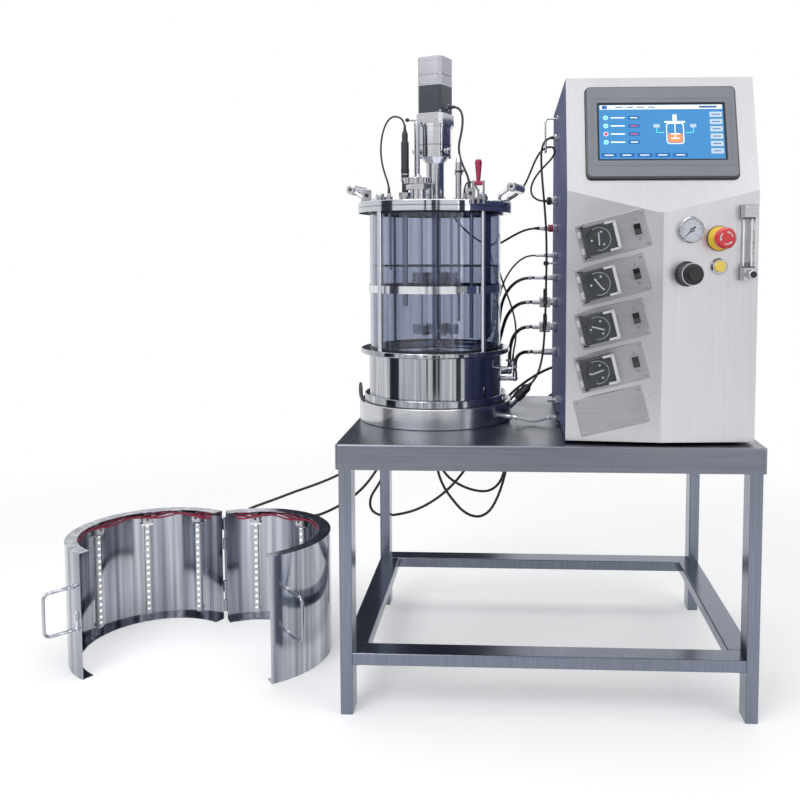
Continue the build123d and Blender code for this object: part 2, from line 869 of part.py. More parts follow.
def make_button_collars():
    estop = turned(
        [
            (0, 0),
            (estop_radius + 3, 0),
            (estop_radius + 3, 5),
            (15, 8),
            (15, estop_collar),
            (9, estop_collar),
            (9, 12),
            (0, 12),
        ]
    )
    ring = turned(
        [
            (0, 0),
            (button_radius, 0),
            (button_radius, 4),
            (button_radius - 2, button_face),
            (11.2, button_face),
            (11.2, 2),
            (0, 2),
        ]
    )
    return group([on_right(estop_spot) * estop, on_right(button_spot) * ring])


def make_estop_button():
    low = estop_collar + estop_travel + slide_gap
    cap = turned(
        [
            (0, 12 + estop_travel + slide_gap),
            (9 - slide_gap, 12 + estop_travel + slide_gap),
            (9 - slide_gap, low),
            (estop_radius - 2, low),
            (estop_radius, low + 4),
            (estop_radius, low + 10),
            (estop_radius - 4, low + 15),
            (0, low + 16),
        ]
    )
    return on_right(estop_spot) * cap


def make_start_button():
    low = 2 + button_travel + slide_gap
    return on_right(button_spot) * turned([(0, low), (10.9, low), (10.9, 10.5), (9, 12), (0, 12)])


def make_regulator_body():
    collar = turned([(0, 0), (24, 0), (24, 4), (19, regulator_collar), (0, regulator_collar)])
    return on_right(regulator_spot) * collar


def make_regulator_knob():
    low = regulator_collar + fit_gap
    high = low + regulator_length
    knob = turned(
        [
            (0, low),
            (knob_radius, low),
            (knob_radius, high - 14),
            (knob_radius - 3, high - 9),
            (12, high - 8),
            (12, high),
            (0, high),
        ]
    )
    flute = Pos(0, 0, low + 16) * Cylinder(1.8, 30)
    flutes = [spot * flute for spot in PolarLocations(knob_radius + 0.8, 18)]
    return on_right(regulator_spot) * (knob - flutes)


def make_flowmeter_frame():
    """Back plate and the two end blocks, with the ports behind them."""
    length = flow_length
    frame = Pos(0, length / 2) * extrude(RectangleRounded(flow_block - 5, length, 2), 3)
    for low in (0, length - flow_block):
        body = Box(flow_block, flow_block, flow_block, align=(Align.CENTER, Align.MIN, Align.MIN))
        body = chamfer(body.edges().filter_by(Axis.Z), 1.5)
        frame += Pos(0, low, 3) * body
    stem = Pos(0, flow_block / 2, flow_block + 3) * extrude(Circle(3), 14)
    return on_right(flow_spot) * (frame + stem)


def make_flowmeter_tube():
    length = flow_length - 2 * flow_block
    tube = Box(18, length, 20, align=(Align.CENTER, Align.MIN, Align.CENTER))
    tube = fillet(tube.edges().filter_by(Axis.Y), 3)
    bore = Rot(-90, 0, 0) * extrude(Circle(float_radius + slide_gap), length)
    return on_right(flow_spot) * Pos(0, flow_block, flow_axis) * (tube - bore)


def make_flowmeter_float():
    shoulder = float_height * 0.7
    profile = [(0, 0), (float_radius * 0.4, 0), (float_radius, shoulder), (float_radius, float_height)]
    body = turned(profile + [(0, float_height)])
    return on_right(flow_spot) * Pos(0, flow_block + slide_gap, flow_axis) * Rot(-90, 0, 0) * body


def make_flowmeter_knob():
    base = flow_block + 3 + slide_gap
    knob = disc(8.5, 16, z=base)
    knob -= disc(3 + fit_gap, 14 + slide_gap, z=base)
    knob = chamfer(knob.faces().sort_by(Axis.Z)[-1].edges(), 1)
    cuts = [spot * Pos(0, 0, base + 8) * Box(1.2, 1.2, 20) for spot in PolarLocations(8.6, 16)]
    return on_right(flow_spot) * Pos(0, flow_block / 2, 0) * (knob - cuts)


# Cabinet side fittings
side_y = 50.0
cluster_y = -80.0
# The fittings from the lowest up: rise above the one before, reach and radius
side_steps = {
    "side": (138.0, 55.0, 7.5),
    "return": (58.0, 57.0, 8.0),
    "supply": (57.0, 57.0, 8.0),
    "upper": (56.0, 52.0, 6.0),
    "thin": (51.0, 50.0, 5.0),
    "signal": (62.0, 41.0, 6.5),
}
ball_rise = 33.0
ball_reach = 26.0
socket_rise = 62.0
# Above the cabinet's bottom: the cable outlet, the two drain fittings and the hanger
outlet_rise = 624.0
drain_rise = 9.0
feed_rise = 47.0
hanger_rise = 669.0
hanger_drop = 77.0
hanger_reach = 29.0
hanger_hook = 32.0
hanger_tip = 22.0
hanger_wire = 4.0
valve_body = 24.0
valve_reach = 28.0
stem_radius = 3.0


def side_stub(y, z, reach, radius):
    """A fitting that stands out of the cabinet's left side, with a hexagon at its root."""
    toward = Pos(cabinet_left, y, z) * Rot(0, -90, 0)
    barb = turned([(0, 0), (radius, 0), (radius, reach * 0.55), (radius * 0.72, reach * 0.6),
                   (radius * 0.72, reach), (0, reach)])
    return toward * (hex_nut(2.5 * radius, 9) + barb)


def side_height(name):
    """The height of one fitting, with the rises of those below it added up."""
    height = cabinet_bottom
    for step, (rise, reach, radius) in side_steps.items():
        height += rise
        if step == name:
            return height


def valve_middle(name):
    return Vector(cabinet_left - valve_reach, side_y, side_height(name))


def make_side_fittings():
    pieces = [make_hose_elbow(*port) for port in jacket_ports.values()]
    for name, (rise, reach, radius) in side_steps.items():
        piece = side_stub(side_y, side_height(name), reach, radius)
        if name in ("supply", "return"):
            middle = valve_middle(name)
            body = Pos(middle) * Box(valve_body, valve_body - 2, valve_body)
            body = fillet(body.edges().filter_by(Axis.X), 4)
            stem = Pos(middle.X, middle.Y - valve_body / 2 + 2, middle.Z) * Rot(90, 0, 0)
            piece += body + stem * extrude(Circle(stem_radius), 13)
        pieces.append(piece)
    ball_root = Pos(cabinet_left, side_y - 2, side_height("upper") + ball_rise) * Rot(0, -90, 0)
    pieces.append(ball_root * (disc(2.5, ball_reach - 2) + Pos(0, 0, ball_reach) * Sphere(6)))
    pieces.append(side_stub(side_y, side_height("signal") + socket_rise, 25, 8))
    pieces.append(side_stub(side_y - 22, cabinet_bottom + outlet_rise, 10, 5))
    pieces.append(side_stub(cluster_y, cabinet_bottom + drain_rise, 12, 8))
    pieces.append(side_stub(cluster_y, cabinet_bottom + feed_rise, 26, 7))
    hanger_x = cabinet_left - hanger_reach
    hanger_top = cabinet_bottom + hanger_rise
    hanger_low = hanger_top - hanger_drop
    hook = rod(
        [
            (cabinet_left, side_y, hanger_top),
            (hanger_x, side_y, hanger_top),
            (hanger_x, side_y, hanger_low),
            (hanger_x, side_y - hanger_hook, hanger_low),
            (hanger_x, side_y - hanger_hook, hanger_low + hanger_tip),
        ],
        hanger_wire,
        7,
    )
    pieces.append(hook + Pos(cabinet_left, side_y, hanger_top) * Rot(0, -90, 0) * disc(8, 3))
    return group(pieces)


def make_side_valve(name):
    middle = valve_middle(name)
    front = middle.Y - valve_body / 2 - 3
    hub = extrude(Circle(6) - Circle(stem_radius + fit_gap), 5)
    wing = extrude(Pos(0, 17) * RectangleRounded(9, 30, 4), 3.5) - Cylinder(5, 20)
    return Pos(middle.X, front, middle.Z) * Rot(90, 0, 0) * (hub + wing)


# Light jacket
pivot_offset = 7.0
knuckle_radius = 5.5
pin_radius = 2.5
strip_offsets = [22.0, 60.0, 98.0, 136.0]
strip_margin = 10.0
leaf_cable_z = 262.0
cable_a_angle = 106.0
cable_b_angle = 56.0
handle_wire = 7.0
leaf_handle_height = 95.0
leaf_handle_reach = 62.0
leaf_handle_middle = 150.0
knuckle_heights = [20.0, 70.0, 178.0, 228.0]
knuckle_length = 28.0


def leaf_middle(angle):
    turn = math.radians(angle)
    reach = leaf_radius + pivot_offset
    return Vector(hinge_x + reach * math.cos(turn), hinge_y + reach * math.sin(turn), 0)


def leaf_point(angle, direction, radius, z):
    """A point about a leaf's own axis."""
    turn = math.radians(direction)
    return leaf_middle(angle) + Vector(radius * math.cos(turn), radius * math.sin(turn), z)


def make_leaf(angle, side, handle_direction, knuckles, bore):
    """One half of the jacket: a half-round wall with turned-in rims, knuckles and a wire handle."""
    lip = leaf_radius - leaf_lip
    skin = leaf_radius - leaf_sheet
    profile = make_face(
        Polyline(
            (lip, 0, 0),
            (leaf_radius, 0, 0),
            (leaf_radius, 0, leaf_height),
            (lip, 0, leaf_height),
            (lip, 0, leaf_height - leaf_sheet),
            (skin, 0, leaf_height - leaf_sheet),
            (skin, 0, leaf_sheet),
            (lip, 0, leaf_sheet),
            close=True,
        )
    )
    trim = math.degrees(leaf_gap / leaf_radius)
    start = angle if side > 0 else angle + 180
    shell = Rot(0, 0, start + trim) * revolve(profile, Axis.Z, revolution_arc=180 - 2 * trim)
    leaf = Pos(leaf_middle(angle)) * shell
    for height in knuckles:
        barrel = disc(knuckle_radius, knuckle_length, z=height)
        web = Box(pivot_offset + 1, 2.5, knuckle_length, align=(Align.MIN, Align.CENTER, Align.MIN))
        barrel += Pos(0, side * 3.6, height) * web
        if bore:
            barrel -= disc(bore, knuckle_length, z=height)
        leaf += Pos(hinge_x, hinge_y, 0) * Rot(0, 0, angle) * barrel
    low = leaf_handle_middle - leaf_handle_height / 2
    high = leaf_handle_middle + leaf_handle_height / 2
    near = leaf_radius - leaf_sheet / 2
    far = leaf_radius + leaf_handle_reach
    wire = rod([(near, 0, low), (far, 0, low), (far, 0, high), (near, 0, high)], handle_wire, 14)
    leaf += Pos(leaf_middle(angle)) * Rot(0, 0, handle_direction) * wire
    return leaf


def make_jacket_right():
    leaf = make_leaf(leaf_right_angle, 1, -47.0, knuckle_heights[0::2], 0)
    for direction in (cable_a_angle, cable_b_angle):
        root = leaf_point(leaf_right_angle, direction, leaf_radius - leaf_sheet / 2, leaf_cable_z)
        tip = leaf_point(leaf_right_angle, direction, leaf_radius + gland_length, leaf_cable_z)
        leaf += bar_between(root, tip, 11)
    pin_low = knuckle_heights[0]
    pin_high = knuckle_heights[-1] + knuckle_length + 4
    return leaf + disc(pin_radius, pin_high - pin_low, x=hinge_x, y=hinge_y, z=pin_low)


def make_jacket_left():
    return make_leaf(leaf_left_angle, -1, 229.0, knuckle_heights[1::2], pin_radius + fit_gap)


def make_led_strips(angle, side):
    depth_middle = leaf_radius - leaf_sheet - fit_gap - strip_depth / 2
    height = leaf_height - 2 * leaf_sheet - 2 * strip_margin
    strips = []
    for offset in strip_offsets:
        direction = angle + 180 - side * offset
        strip = block(strip_depth, strip_width, height, x=depth_middle, z=leaf_sheet + strip_margin, corner=1)
        strips.append(Pos(leaf_middle(angle)) * Rot(0, 0, direction) * strip)
    return group(strips)


# Cords, cables and hoses
plug_diameter = 22.0
plug_length = 42.0
bend_share = 0.45
cords = {
    "jacket_cord_a": (7.0, [
        (-737.96, 175.91, 262), (-744.03, 197.06, 262), (-738, 221, 263), (-716, 240, 268), (-684, 255, 277),
        (-640, 270, 292), (-588, 288, 307), (-536, 302, 326), (-494, 318, 348), (-472, 331, 388),
        (-466, 337, 440), (-467, 337, 492), (-468, 333, 538), (-467, 317, 574), (-464, 284, 578),
        (-459, 252, 560), (-452, 226, 549), (-434, 207, 549), (-410, 207, 549), (-397, 229, 549),
        (-396, 257, 558),
        (-396, 288, 579), (-396, 320, 577), (-396, 336, 541), (-396, 338, 492), (-395, 338, 440),
        (-396, 338, 388), (-403, 338, 340), (-425, 338, 298), (-449, 338, 262), (-449, 338, 228),
        (-422, 338, 211), (-382, 338, 214), (-330, 338, 226), (-280, 338, 252), (-232, 338, 291),
        (-190, 338, 343), (-160, 340, 400), (-134, 341, 458), (-102, 341, 514), (-56, 340, 561),
        (-4, 338, 598), (40, 330, 620), (69, 312, 625), (80, 296, 625), (80, 279, 625),
    ]),
    "jacket_cord_b": (7.0, [
        (-566.0, 148.7, 262), (-556.0, 163.5, 262), (-542, 182, 263), (-521, 207, 268), (-492, 238, 279),
        (-459, 280, 301), (-434, 322, 331), (-413, 346, 368), (-390, 352, 414), (-366, 352, 462),
        (-344, 350, 508), (-334, 342, 548), (-331, 321, 578), (-330, 289, 579), (-328, 258, 560),
        (-322, 232, 549), (-306, 211, 549), (-281, 208, 549), (-265, 226, 549), (-263, 253, 557),
        (-268, 284, 577), (-277, 316, 585), (-286, 343, 562), (-291, 353, 518), (-286, 354, 462),
        (-278, 353, 408),
        (-267, 352, 358), (-243, 352, 318), (-206, 352, 293), (-166, 352, 279), (-127, 352, 278),
        (-98, 352, 303), (-86, 352, 345), (-74, 353, 396), (-54, 354, 446), (-22, 354, 492),
        (22, 353, 532), (66, 350, 562), (104, 338, 580), (127, 316, 587), (132, 297, 588), (132, 279, 588),
    ]),
    "heater_cord": (7.0, [
        (-243, 183, 567), (-243, 203, 567), (-244, 226, 566), (-247, 254, 568), (-252, 286, 576),
        (-257, 316, 570), (-260, 327, 534), (-262, 325, 488), (-265, 324, 440), (-269, 324, 392),
        (-267, 324, 344), (-252, 324, 300), (-226, 324, 262), (-196, 324, 228), (-160, 324, 214),
        (-129, 324, 228), (-108, 324, 264), (-93, 324, 306), (-82, 324, 352), (-70, 325, 400),
        (-48, 326, 444), (-12, 327, 484), (36, 327, 514), (86, 326, 538), (134, 324, 554),
        (168, 315, 563), (184, 297, 566), (184, 279, 566),
    ]),
    "motor_cable": (5.0, [
        (-208.3, -15.5, 1237), (-194.6, -21.6, 1237), (-183, -28, 1227), (-179, -36, 1205),
        (-182, -47, 1176), (-188, -58, 1148), (-184, -70, 1120), (-173, -84, 1094), (-163, -98, 1072),
        (-163, -98, 1054),
    ]),
    "probe_cable": (4.0, [
        (-304, -60, 1181), (-304, -60, 1194), (-311, -63, 1207), (-327, -70, 1211), (-341, -77, 1198),
        (-350, -83, 1171), (-353, -89, 1140), (-350, -94, 1109), (-342, -98, 1081), (-334, -100, 1060),
        (-334, -100, 1043),
    ]),
    "lid_cable": (4.5, [
        (-116, 88, 1036), (-98, 88, 1036), (-76, 82, 1040), (-54, 72, 1055), (-39, 61, 1078),
        (-29, 53, 1102), (-20, 46, 1124), (-9, 38, 1144), (5, 32, 1154), (20, 37, 1156), (27, 52, 1148),
        (21, 67, 1134), (6, 74, 1119), (-10, 71, 1102), (-22, 66, 1084), (-29, 61, 1064), (-25, 55, 1046),
        (-12, 51, 1037), (-2, 50, 1035), (8, 50, 1035),
    ]),
    "base_cable": (5.0, [
        (23, 28, 1175), (13, 28, 1175), (1, 28, 1167), (-6, 27, 1148), (-6, 25, 1116), (-3, 21, 1073),
        (2, 17, 1020), (6, 15, 964), (7, 14, 904), (6, 13, 844), (5, 11, 786), (3, 8, 733), (-1, 2, 687),
        (-8, -6, 656), (-19, -12, 632), (-31.3, -12, 619.7),
    ]),
    "signal_cable": (5.0, [
        (-8, 50, 973), (-22, 50, 973), (-42, 53, 969), (-64, 62, 959), (-86, 79, 946), (-106, 106, 936),
        (-124, 138, 936), (-148, 167, 947), (-178, 189, 968), (-208, 199, 998), (-231, 196, 1034),
        (-243, 179, 1068), (-243, 156, 1088), (-243, 132, 1088), (-243, 122, 1073), (-243, 122, 1057),
    ]),
    "thin_tube": (4.0, [
        (-17, 50, 911), (-30, 50, 911), (-48, 52, 904), (-68, 58, 886), (-85, 68, 860), (-97, 82, 829),
        (-103, 98, 796), (-106, 113, 764), (-111, 131, 734), (-124, 153, 712), (-146, 170, 702),
        (-170, 178, 704), (-191, 178, 701), (-199.5, 174.7, 687), (-199.5, 174.7, 671),
    ]),
    "upper_hose": (7.0, [
        (-19, 50, 860), (-40, 50, 860), (-64, 56, 849), (-84, 68, 826), (-96, 86, 793), (-99, 105, 760),
        (-105, 123, 733), (-120, 141, 713), (-138, 151, 702), (-147.6, 152.6, 687), (-147.6, 152.6, 671),
    ]),
    "supply_hose": (8.0, [
        (-24, 50, 804), (-45, 50, 804), (-67, 58, 792), (-84, 72, 768), (-92, 90, 740), (-98, 106, 714),
        (-105.1, 115.7, 689), (-105.1, 115.7, 666),
    ]),
    "return_hose": (8.0, [
        (-24, 50, 747), (-41, 50, 747), (-59, 55, 736), (-71, 61, 716), (-76.1, 67.4, 684),
        (-76.1, 67.4, 656),
    ]),
    "side_hose": (8.0, [
        (-22, 50, 689), (-36, 50, 689), (-50, 39, 687), (-60, 25, 679), (-63.4, 12.6, 664),
        (-63.4, 12.6, 648),
    ]),
    "crossing_cable": (4.0, [
        (-183, 112, 1057), (-183, 112, 1070), (-179, 121, 1083), (-167, 139, 1087), (-155, 158, 1074),
        (-147, 170, 1043), (-139, 172, 1002), (-129, 160, 962), (-118, 138, 928), (-108, 102, 897),
        (-98, 68, 868), (-88, 36, 838), (-74, 6, 803), (-62, -18, 762), (-62, -35, 722), (-68.3, -43.5, 697),
        (-68.3, -43.5, 678),
    ]),
    "drain_hose": (9.0, [
        (-71.47, -69.3, 559), (-56.17, -75.48, 559), (-38, -82, 554), (-18, -85, 553.5), (0, -82, 558),
        (10.5, -80, 560), (21, -80, 560),
    ]),
}


def make_cord(name):
    """A round cord along straight runs joined by arcs as large as the runs allow."""
    diameter, route = cords[name]
    points = [Vector(*point) for point in route]
    radii = []
    for before, here, after in zip(points, points[1:], points[2:]):
        shorter = min((here - before).length, (after - here).length)
        turn = math.radians((here - before).get_angle(after - here))
        radii.append(bend_share * shorter / math.tan(turn / 2))
    line = FilletPolyline(*points, radius=radii)
    cord = sweep(Plane(origin=line @ 0, z_dir=line % 0) * Circle(diameter / 2), path=line)
    share = cord.volume / (math.pi * diameter**2 / 4 * line.length)
    smallest = min(radii)
    print(f"{name}: length {line.length:.0f}, least radius {smallest:.1f}", end=" ")
    print(f"({smallest / diameter:.1f} diameters), volume / (section x length) {share:.4f}")
    return cord


def make_base_plug():
    start = socket_start() + socket_direction() * (socket_length + 8)
    body = bar_between(start, start + socket_direction() * plug_length, plug_diameter)
    return fillet(body.edges().filter_by(GeomType.CIRCLE), 2)


# Assembly
def make_all():
    """Every sub-part by name, in the stand's own frame."""
    nodes = {
        "table_top": make_table_top(),
        "stand_frame": make_stand_frame(),
        "vessel_base": make_vessel_base(),
        "vessel_bottom": make_vessel_bottom(),
        "glass_cylinder": make_glass_cylinder(),
        "glass_hoop": make_glass_hoop(),
        "tie_rods": make_tie_rods(),
        "flange_ring": make_flange_ring(),
        "lid": make_lid(),
        "lid_handles": make_lid_handles(),
        "lid_ports": make_lid_ports(),
        "ph_probe": make_ph_probe(),
        "toggle_lever": make_toggle_lever(),
        "stirrer_mount": make_stirrer_mount(),
        "motor_body": make_motor_body(),
        "motor_cap": make_motor_cap(),
        "stirrer": make_stirrer(),
        "vessel_internals": make_vessel_internals(),
        "cabinet_shell": make_cabinet_shell(),
        "cabinet_front": make_cabinet_front(),
        "operator_panel": make_operator_panel(),
        "pump_plates": make_pump_plates(),
        "pump_heads": make_pump_heads(),
        "gauge_case": make_gauge_case(),
        "gauge_needle": make_gauge_needle(),
        "button_collars": make_button_collars(),
        "estop_button": make_estop_button(),
        "start_button": make_start_button(),
        "regulator_body": make_regulator_body(),
        "regulator_knob": make_regulator_knob(),
        "flowmeter_frame": make_flowmeter_frame(),
        "flowmeter_tube": make_flowmeter_tube(),
        "flowmeter_float": make_flowmeter_float(),
        "flowmeter_knob": make_flowmeter_knob(),
        "side_fittings": make_side_fittings(),
        "side_valve_supply": make_side_valve("supply"),
        "side_valve_return": make_side_valve("return"),
        "jacket_right": make_jacket_right(),
        "jacket_left": make_jacket_left(),
        "led_strips_right": make_led_strips(leaf_right_angle, 1),
        "led_strips_left": make_led_strips(leaf_left_angle, -1),
    }
    for step in range(pump_count):
        nodes[f"pump_rotor_{step + 1}"] = make_pump_rotor(step)
        nodes[f"pump_cover_{step + 1}"] = make_pump_cover(step)
        nodes[f"pump_switch_{step + 1}"] = make_pump_switch(step)
    return nodes


def make_cords():
    """The cords, cables and hoses; those that run together share a sub-part."""
    bundles = {
        "jacket_cord_a": ["jacket_cord_a"],
        "jacket_cord_b": ["jacket_cord_b"],
        "heater_cord": ["heater_cord"],
        "lid_cables": ["motor_cable", "probe_cable"],
        "side_cables": ["lid_cable", "base_cable", "signal_cable", "crossing_cable"],
        "process_hoses": ["thin_tube", "upper_hose", "supply_hose", "return_hose", "side_hose"],
        "drain_hose": ["drain_hose"],
    }
    nodes = {name: [make_cord(cord) for cord in members] for name, members in bundles.items()}
    nodes["side_cables"].append(make_base_plug())
    return {name: group(solids) for name, solids in nodes.items()}


# The origin is under the middle of the object's box, at the floor.
rigid = make_all()
flexible = make_cords()
box = group(rigid.values()).bounding_box()
to_origin = Pos(-(box.min.X + box.max.X) / 2, -(box.min.Y + box.max.Y) / 2, 0)
if __name__ == "__main__":
    for name, solid in {**rigid, **flexible}.items():
        export_step(to_origin * solid, f"parts/{name}.step")
    size = f"{box.size.X:.1f} x {box.size.Y:.1f} x {box.size.Z:.1f}"
    print(f"box {size} mm, {len(rigid) + len(flexible)} sub-parts")
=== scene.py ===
import math

import bmesh
import bpy
from mathutils import Matrix, Vector


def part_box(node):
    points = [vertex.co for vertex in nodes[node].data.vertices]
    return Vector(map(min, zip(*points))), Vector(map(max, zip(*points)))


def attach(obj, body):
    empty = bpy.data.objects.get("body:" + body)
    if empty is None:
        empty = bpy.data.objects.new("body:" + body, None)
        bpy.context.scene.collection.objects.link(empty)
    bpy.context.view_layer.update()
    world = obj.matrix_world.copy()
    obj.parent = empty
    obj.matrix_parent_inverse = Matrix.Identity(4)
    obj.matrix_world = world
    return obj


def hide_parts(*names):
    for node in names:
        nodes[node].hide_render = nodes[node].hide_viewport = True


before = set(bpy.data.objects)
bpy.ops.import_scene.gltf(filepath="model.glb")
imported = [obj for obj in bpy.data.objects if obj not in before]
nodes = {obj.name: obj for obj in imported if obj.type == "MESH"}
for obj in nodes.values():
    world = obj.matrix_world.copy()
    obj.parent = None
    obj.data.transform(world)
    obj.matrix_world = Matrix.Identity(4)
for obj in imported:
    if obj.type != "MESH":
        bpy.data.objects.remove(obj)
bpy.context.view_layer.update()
collection = bpy.context.scene.collection
print("stage: frame loaded")

# Places below are millimetres from the middle of the stand: X right, Y to the back, Z up.
topLow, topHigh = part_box("table_top")
standMiddle = Vector(((topLow.x + topHigh.x) / 2, (topLow.y + topHigh.y) / 2, 0.0))
toMetres = Matrix.Translation(standMiddle) @ Matrix.Scale(0.001, 4)
home = Matrix()


def inMetres(x, y, z):
    return standMiddle + Vector((x, y, z)) / 1000


def shift(x=0.0, y=0.0, z=0.0):
    return Matrix.Translation((x, y, z))


def turn(degrees, axis="Z"):
    return Matrix.Rotation(math.radians(degrees), 4, axis)


# A place whose X runs across and whose Z points outward.
def facing(origin, across, outward):
    xAxis = Vector(across).normalized()
    zAxis = Vector(outward).normalized()
    place = Matrix((xAxis, zAxis.cross(xAxis), zAxis)).transposed().to_4x4()
    place.translation = Vector(origin)
    return place


# A place whose Z points along a direction.
def pointing(origin, direction):
    place = Vector(direction).to_track_quat("Z", "Y").to_matrix().to_4x4()
    place.translation = Vector(origin)
    return place


def addObject(name, data):
    item = bpy.data.objects.new(name, data)
    collection.objects.link(item)
    return item


# Camera.
cameraSetup = {
    "eye": (-79.0, -2000.0, 911.0),
    "lens": 40.0,
    "sensor": 36.0,
    "farthest": 50.0,
    "turnLeft": 2.6,
    "tiltDown": 4.0,
    "shiftX": -0.085,
    "shiftY": -0.103,
}


def makeCamera(setup):
    data = bpy.data.cameras.new("viewCamera")
    data.lens = setup["lens"]
    data.sensor_width = setup["sensor"]
    data.shift_x = setup["shiftX"]
    data.shift_y = setup["shiftY"]
    data.clip_end = setup["farthest"]
    camera = addObject("viewCamera", data)
    camera.location = inMetres(*setup["eye"])
    camera.rotation_euler = (math.radians(90 - setup["tiltDown"]), 0.0, math.radians(setup["turnLeft"]))
    bpy.context.scene.camera = camera


makeCamera(cameraSetup)
print("stage: camera")


# Node trees. An input takes a plain value or another node's output, which is then linked.
def setInputs(tree, node, values):
    for name, value in values.items():
        if isinstance(value, bpy.types.NodeSocket):
            tree.links.new(value, node.inputs[name])
        else:
            node.inputs[name].default_value = value


# Adds a node with its settings and inputs, and returns its outputs.
def addNode(tree, kind, values=None, **settings):
    node = tree.nodes.new(kind)
    for name, value in settings.items():
        setattr(node, name, value)
    setInputs(tree, node, values or {})
    return node.outputs


def mathNode(tree, operation, first, second=0.0):
    return addNode(tree, "ShaderNodeMath", {0: first, 1: second}, operation=operation)[0]


# Starts a group with named inputs and outputs, and returns it with what its inputs hand out.
def startGroup(name, kind, inputs, outputs):
    tree = bpy.data.node_groups.new(name, kind)
    for label, (socketKind, value) in inputs.items():
        socket = tree.interface.new_socket(label, in_out="INPUT", socket_type="NodeSocket" + socketKind)
        if value is not None:
            socket.default_value = value
    for label, socketKind in outputs.items():
        tree.interface.new_socket(label, in_out="OUTPUT", socket_type="NodeSocket" + socketKind)
    return tree, tree.nodes.new("NodeGroupInput").outputs


# Fine brushed lines, and on polished metal painted reflection streaks: Stretch is small along the lines,
# Shade and Height carry them.
grainSetup = {
    "stretch": (20.0, 900.0, 900.0),
    "scales": (1.0, 0.22),
    "details": (3.0, 2.0),
    "spread": (0.12, 0.42),
}


def makeGrainGroup(setup):
    inputs = {"Vector": ("Vector", None), "Stretch": ("Vector", setup["stretch"]), "Seed": ("Float", 0.0)}
    tree, given = startGroup("brushedGrainAndPaintedStreaks", "ShaderNodeTree", inputs, {"Shade": "Float", "Height": "Float"})
    vectors = {0: given["Vector"], 1: given["Stretch"]}
    stretched = addNode(tree, "ShaderNodeVectorMath", vectors, operation="MULTIPLY")[0]
    noises = []
    for scale, detail in zip(setup["scales"], setup["details"]):
        values = {"Vector": stretched, "W": given["Seed"], "Scale": scale, "Detail": detail}
        noises.append(addNode(tree, "ShaderNodeTexNoise", values, noise_dimensions="4D")["Fac"])
    low, high = setup["spread"]
    both = mathNode(tree, "MULTIPLY", *noises)
    spread = addNode(tree, "ShaderNodeMapRange", {"Value": both, "From Min": low, "From Max": high})
    addNode(tree, "NodeGroupOutput", {"Shade": spread["Result"], "Height": noises[0]})
    return tree


# Soft cloudy patches, for handled metal and plastic.
smudgeSetup = {"scale": 9.0, "sharpness": 0.2, "detail": 4.0, "roughness": 0.6, "distortion": 0.4}


def makeSmudgeGroup(setup):
    inputs = {
        "Vector": ("Vector", None),
        "Scale": ("Float", setup["scale"]),
        "Sharpness": ("Float", setup["sharpness"]),
    }
    tree, given = startGroup("softSmudge", "ShaderNodeTree", inputs, {"Mask": "Float"})
    cloud = addNode(tree, "ShaderNodeTexNoise", {
        "Vector": given["Vector"],
        "Scale": given["Scale"],
        "Detail": setup["detail"],
        "Roughness": setup["roughness"],
        "Distortion": setup["distortion"],
    })
    edges = {
        "Value": cloud["Fac"],
        "From Min": mathNode(tree, "SUBTRACT", 0.5, given["Sharpness"]),
        "From Max": mathNode(tree, "ADD", 0.5, given["Sharpness"]),
    }
    spread = addNode(tree, "ShaderNodeMapRange", edges, interpolation_type="SMOOTHSTEP")
    addNode(tree, "NodeGroupOutput", {"Mask": spread["Result"]})
    return tree


# Small pits, for painted and moulded skins.
speckleSetup = {"scale": 1400.0, "detail": 2.0, "roughness": 0.5}


def makeSpeckleGroup(setup):
    inputs = {"Vector": ("Vector", None), "Scale": ("Float", setup["scale"])}
    tree, given = startGroup("fineSpeckle", "ShaderNodeTree", inputs, {"Height": "Float"})
    pits = addNode(tree, "ShaderNodeTexNoise", {
        "Vector": given["Vector"],
        "Scale": given["Scale"],
        "Detail": setup["detail"],
        "Roughness": setup["roughness"],
    })
    addNode(tree, "NodeGroupOutput", {"Height": pits["Fac"]})
    return tree


grainGroup = makeGrainGroup(grainSetup)
smudgeGroup = makeSmudgeGroup(smudgeSetup)
speckleGroup = makeSpeckleGroup(speckleSetup)


def blankMaterial(name):
    material = bpy.data.materials.new(name)
    material.use_nodes = True
    return material, material.node_tree, material.node_tree.nodes["Principled BSDF"]


# A colour given as 0-255 screen values, as the shader wants it.
def linear(colour):
    parts = [part / 255 for part in colour]
    return [part / 12.92 if part <= 0.04045 else ((part + 0.055) / 1.055) ** 2.4 for part in parts] + [1.0]


# Smudges of each kind of finish.
metalSmudge = {"Scale": 9.0, "Sharpness": 0.25}
paintSmudge = {"Scale": 6.0, "Sharpness": 0.3}
glassSmudge = {"Scale": 5.0, "Sharpness": 0.35}
glassStreaks = {"Stretch": (90.0, 90.0, 2.0), "Seed": 2.0}


def addMask(tree, group, spot, values):
    return addNode(tree, "ShaderNodeGroup", {"Vector": spot, **values}, node_tree=group)


def mixColours(tree, shader, mask, dark, light):
    values = {"Factor": mask, 6: linear(dark), 7: linear(light)}
    setInputs(tree, shader, {"Base Color": addNode(tree, "ShaderNodeMix", values, data_type="RGBA")[2]})


def mixRoughness(tree, shader, mask, rough):
    values = {"Value": mask, "To Min": rough[0], "To Max": rough[1]}
    setInputs(tree, shader, {"Roughness": addNode(tree, "ShaderNodeMapRange", values)["Result"]})


def addBump(tree, shader, height, depth):
    bump = addNode(tree, "ShaderNodeBump", {"Height": height, "Distance": depth, "Strength": 1.0})
    setInputs(tree, shader, {"Normal": bump["Normal"]})


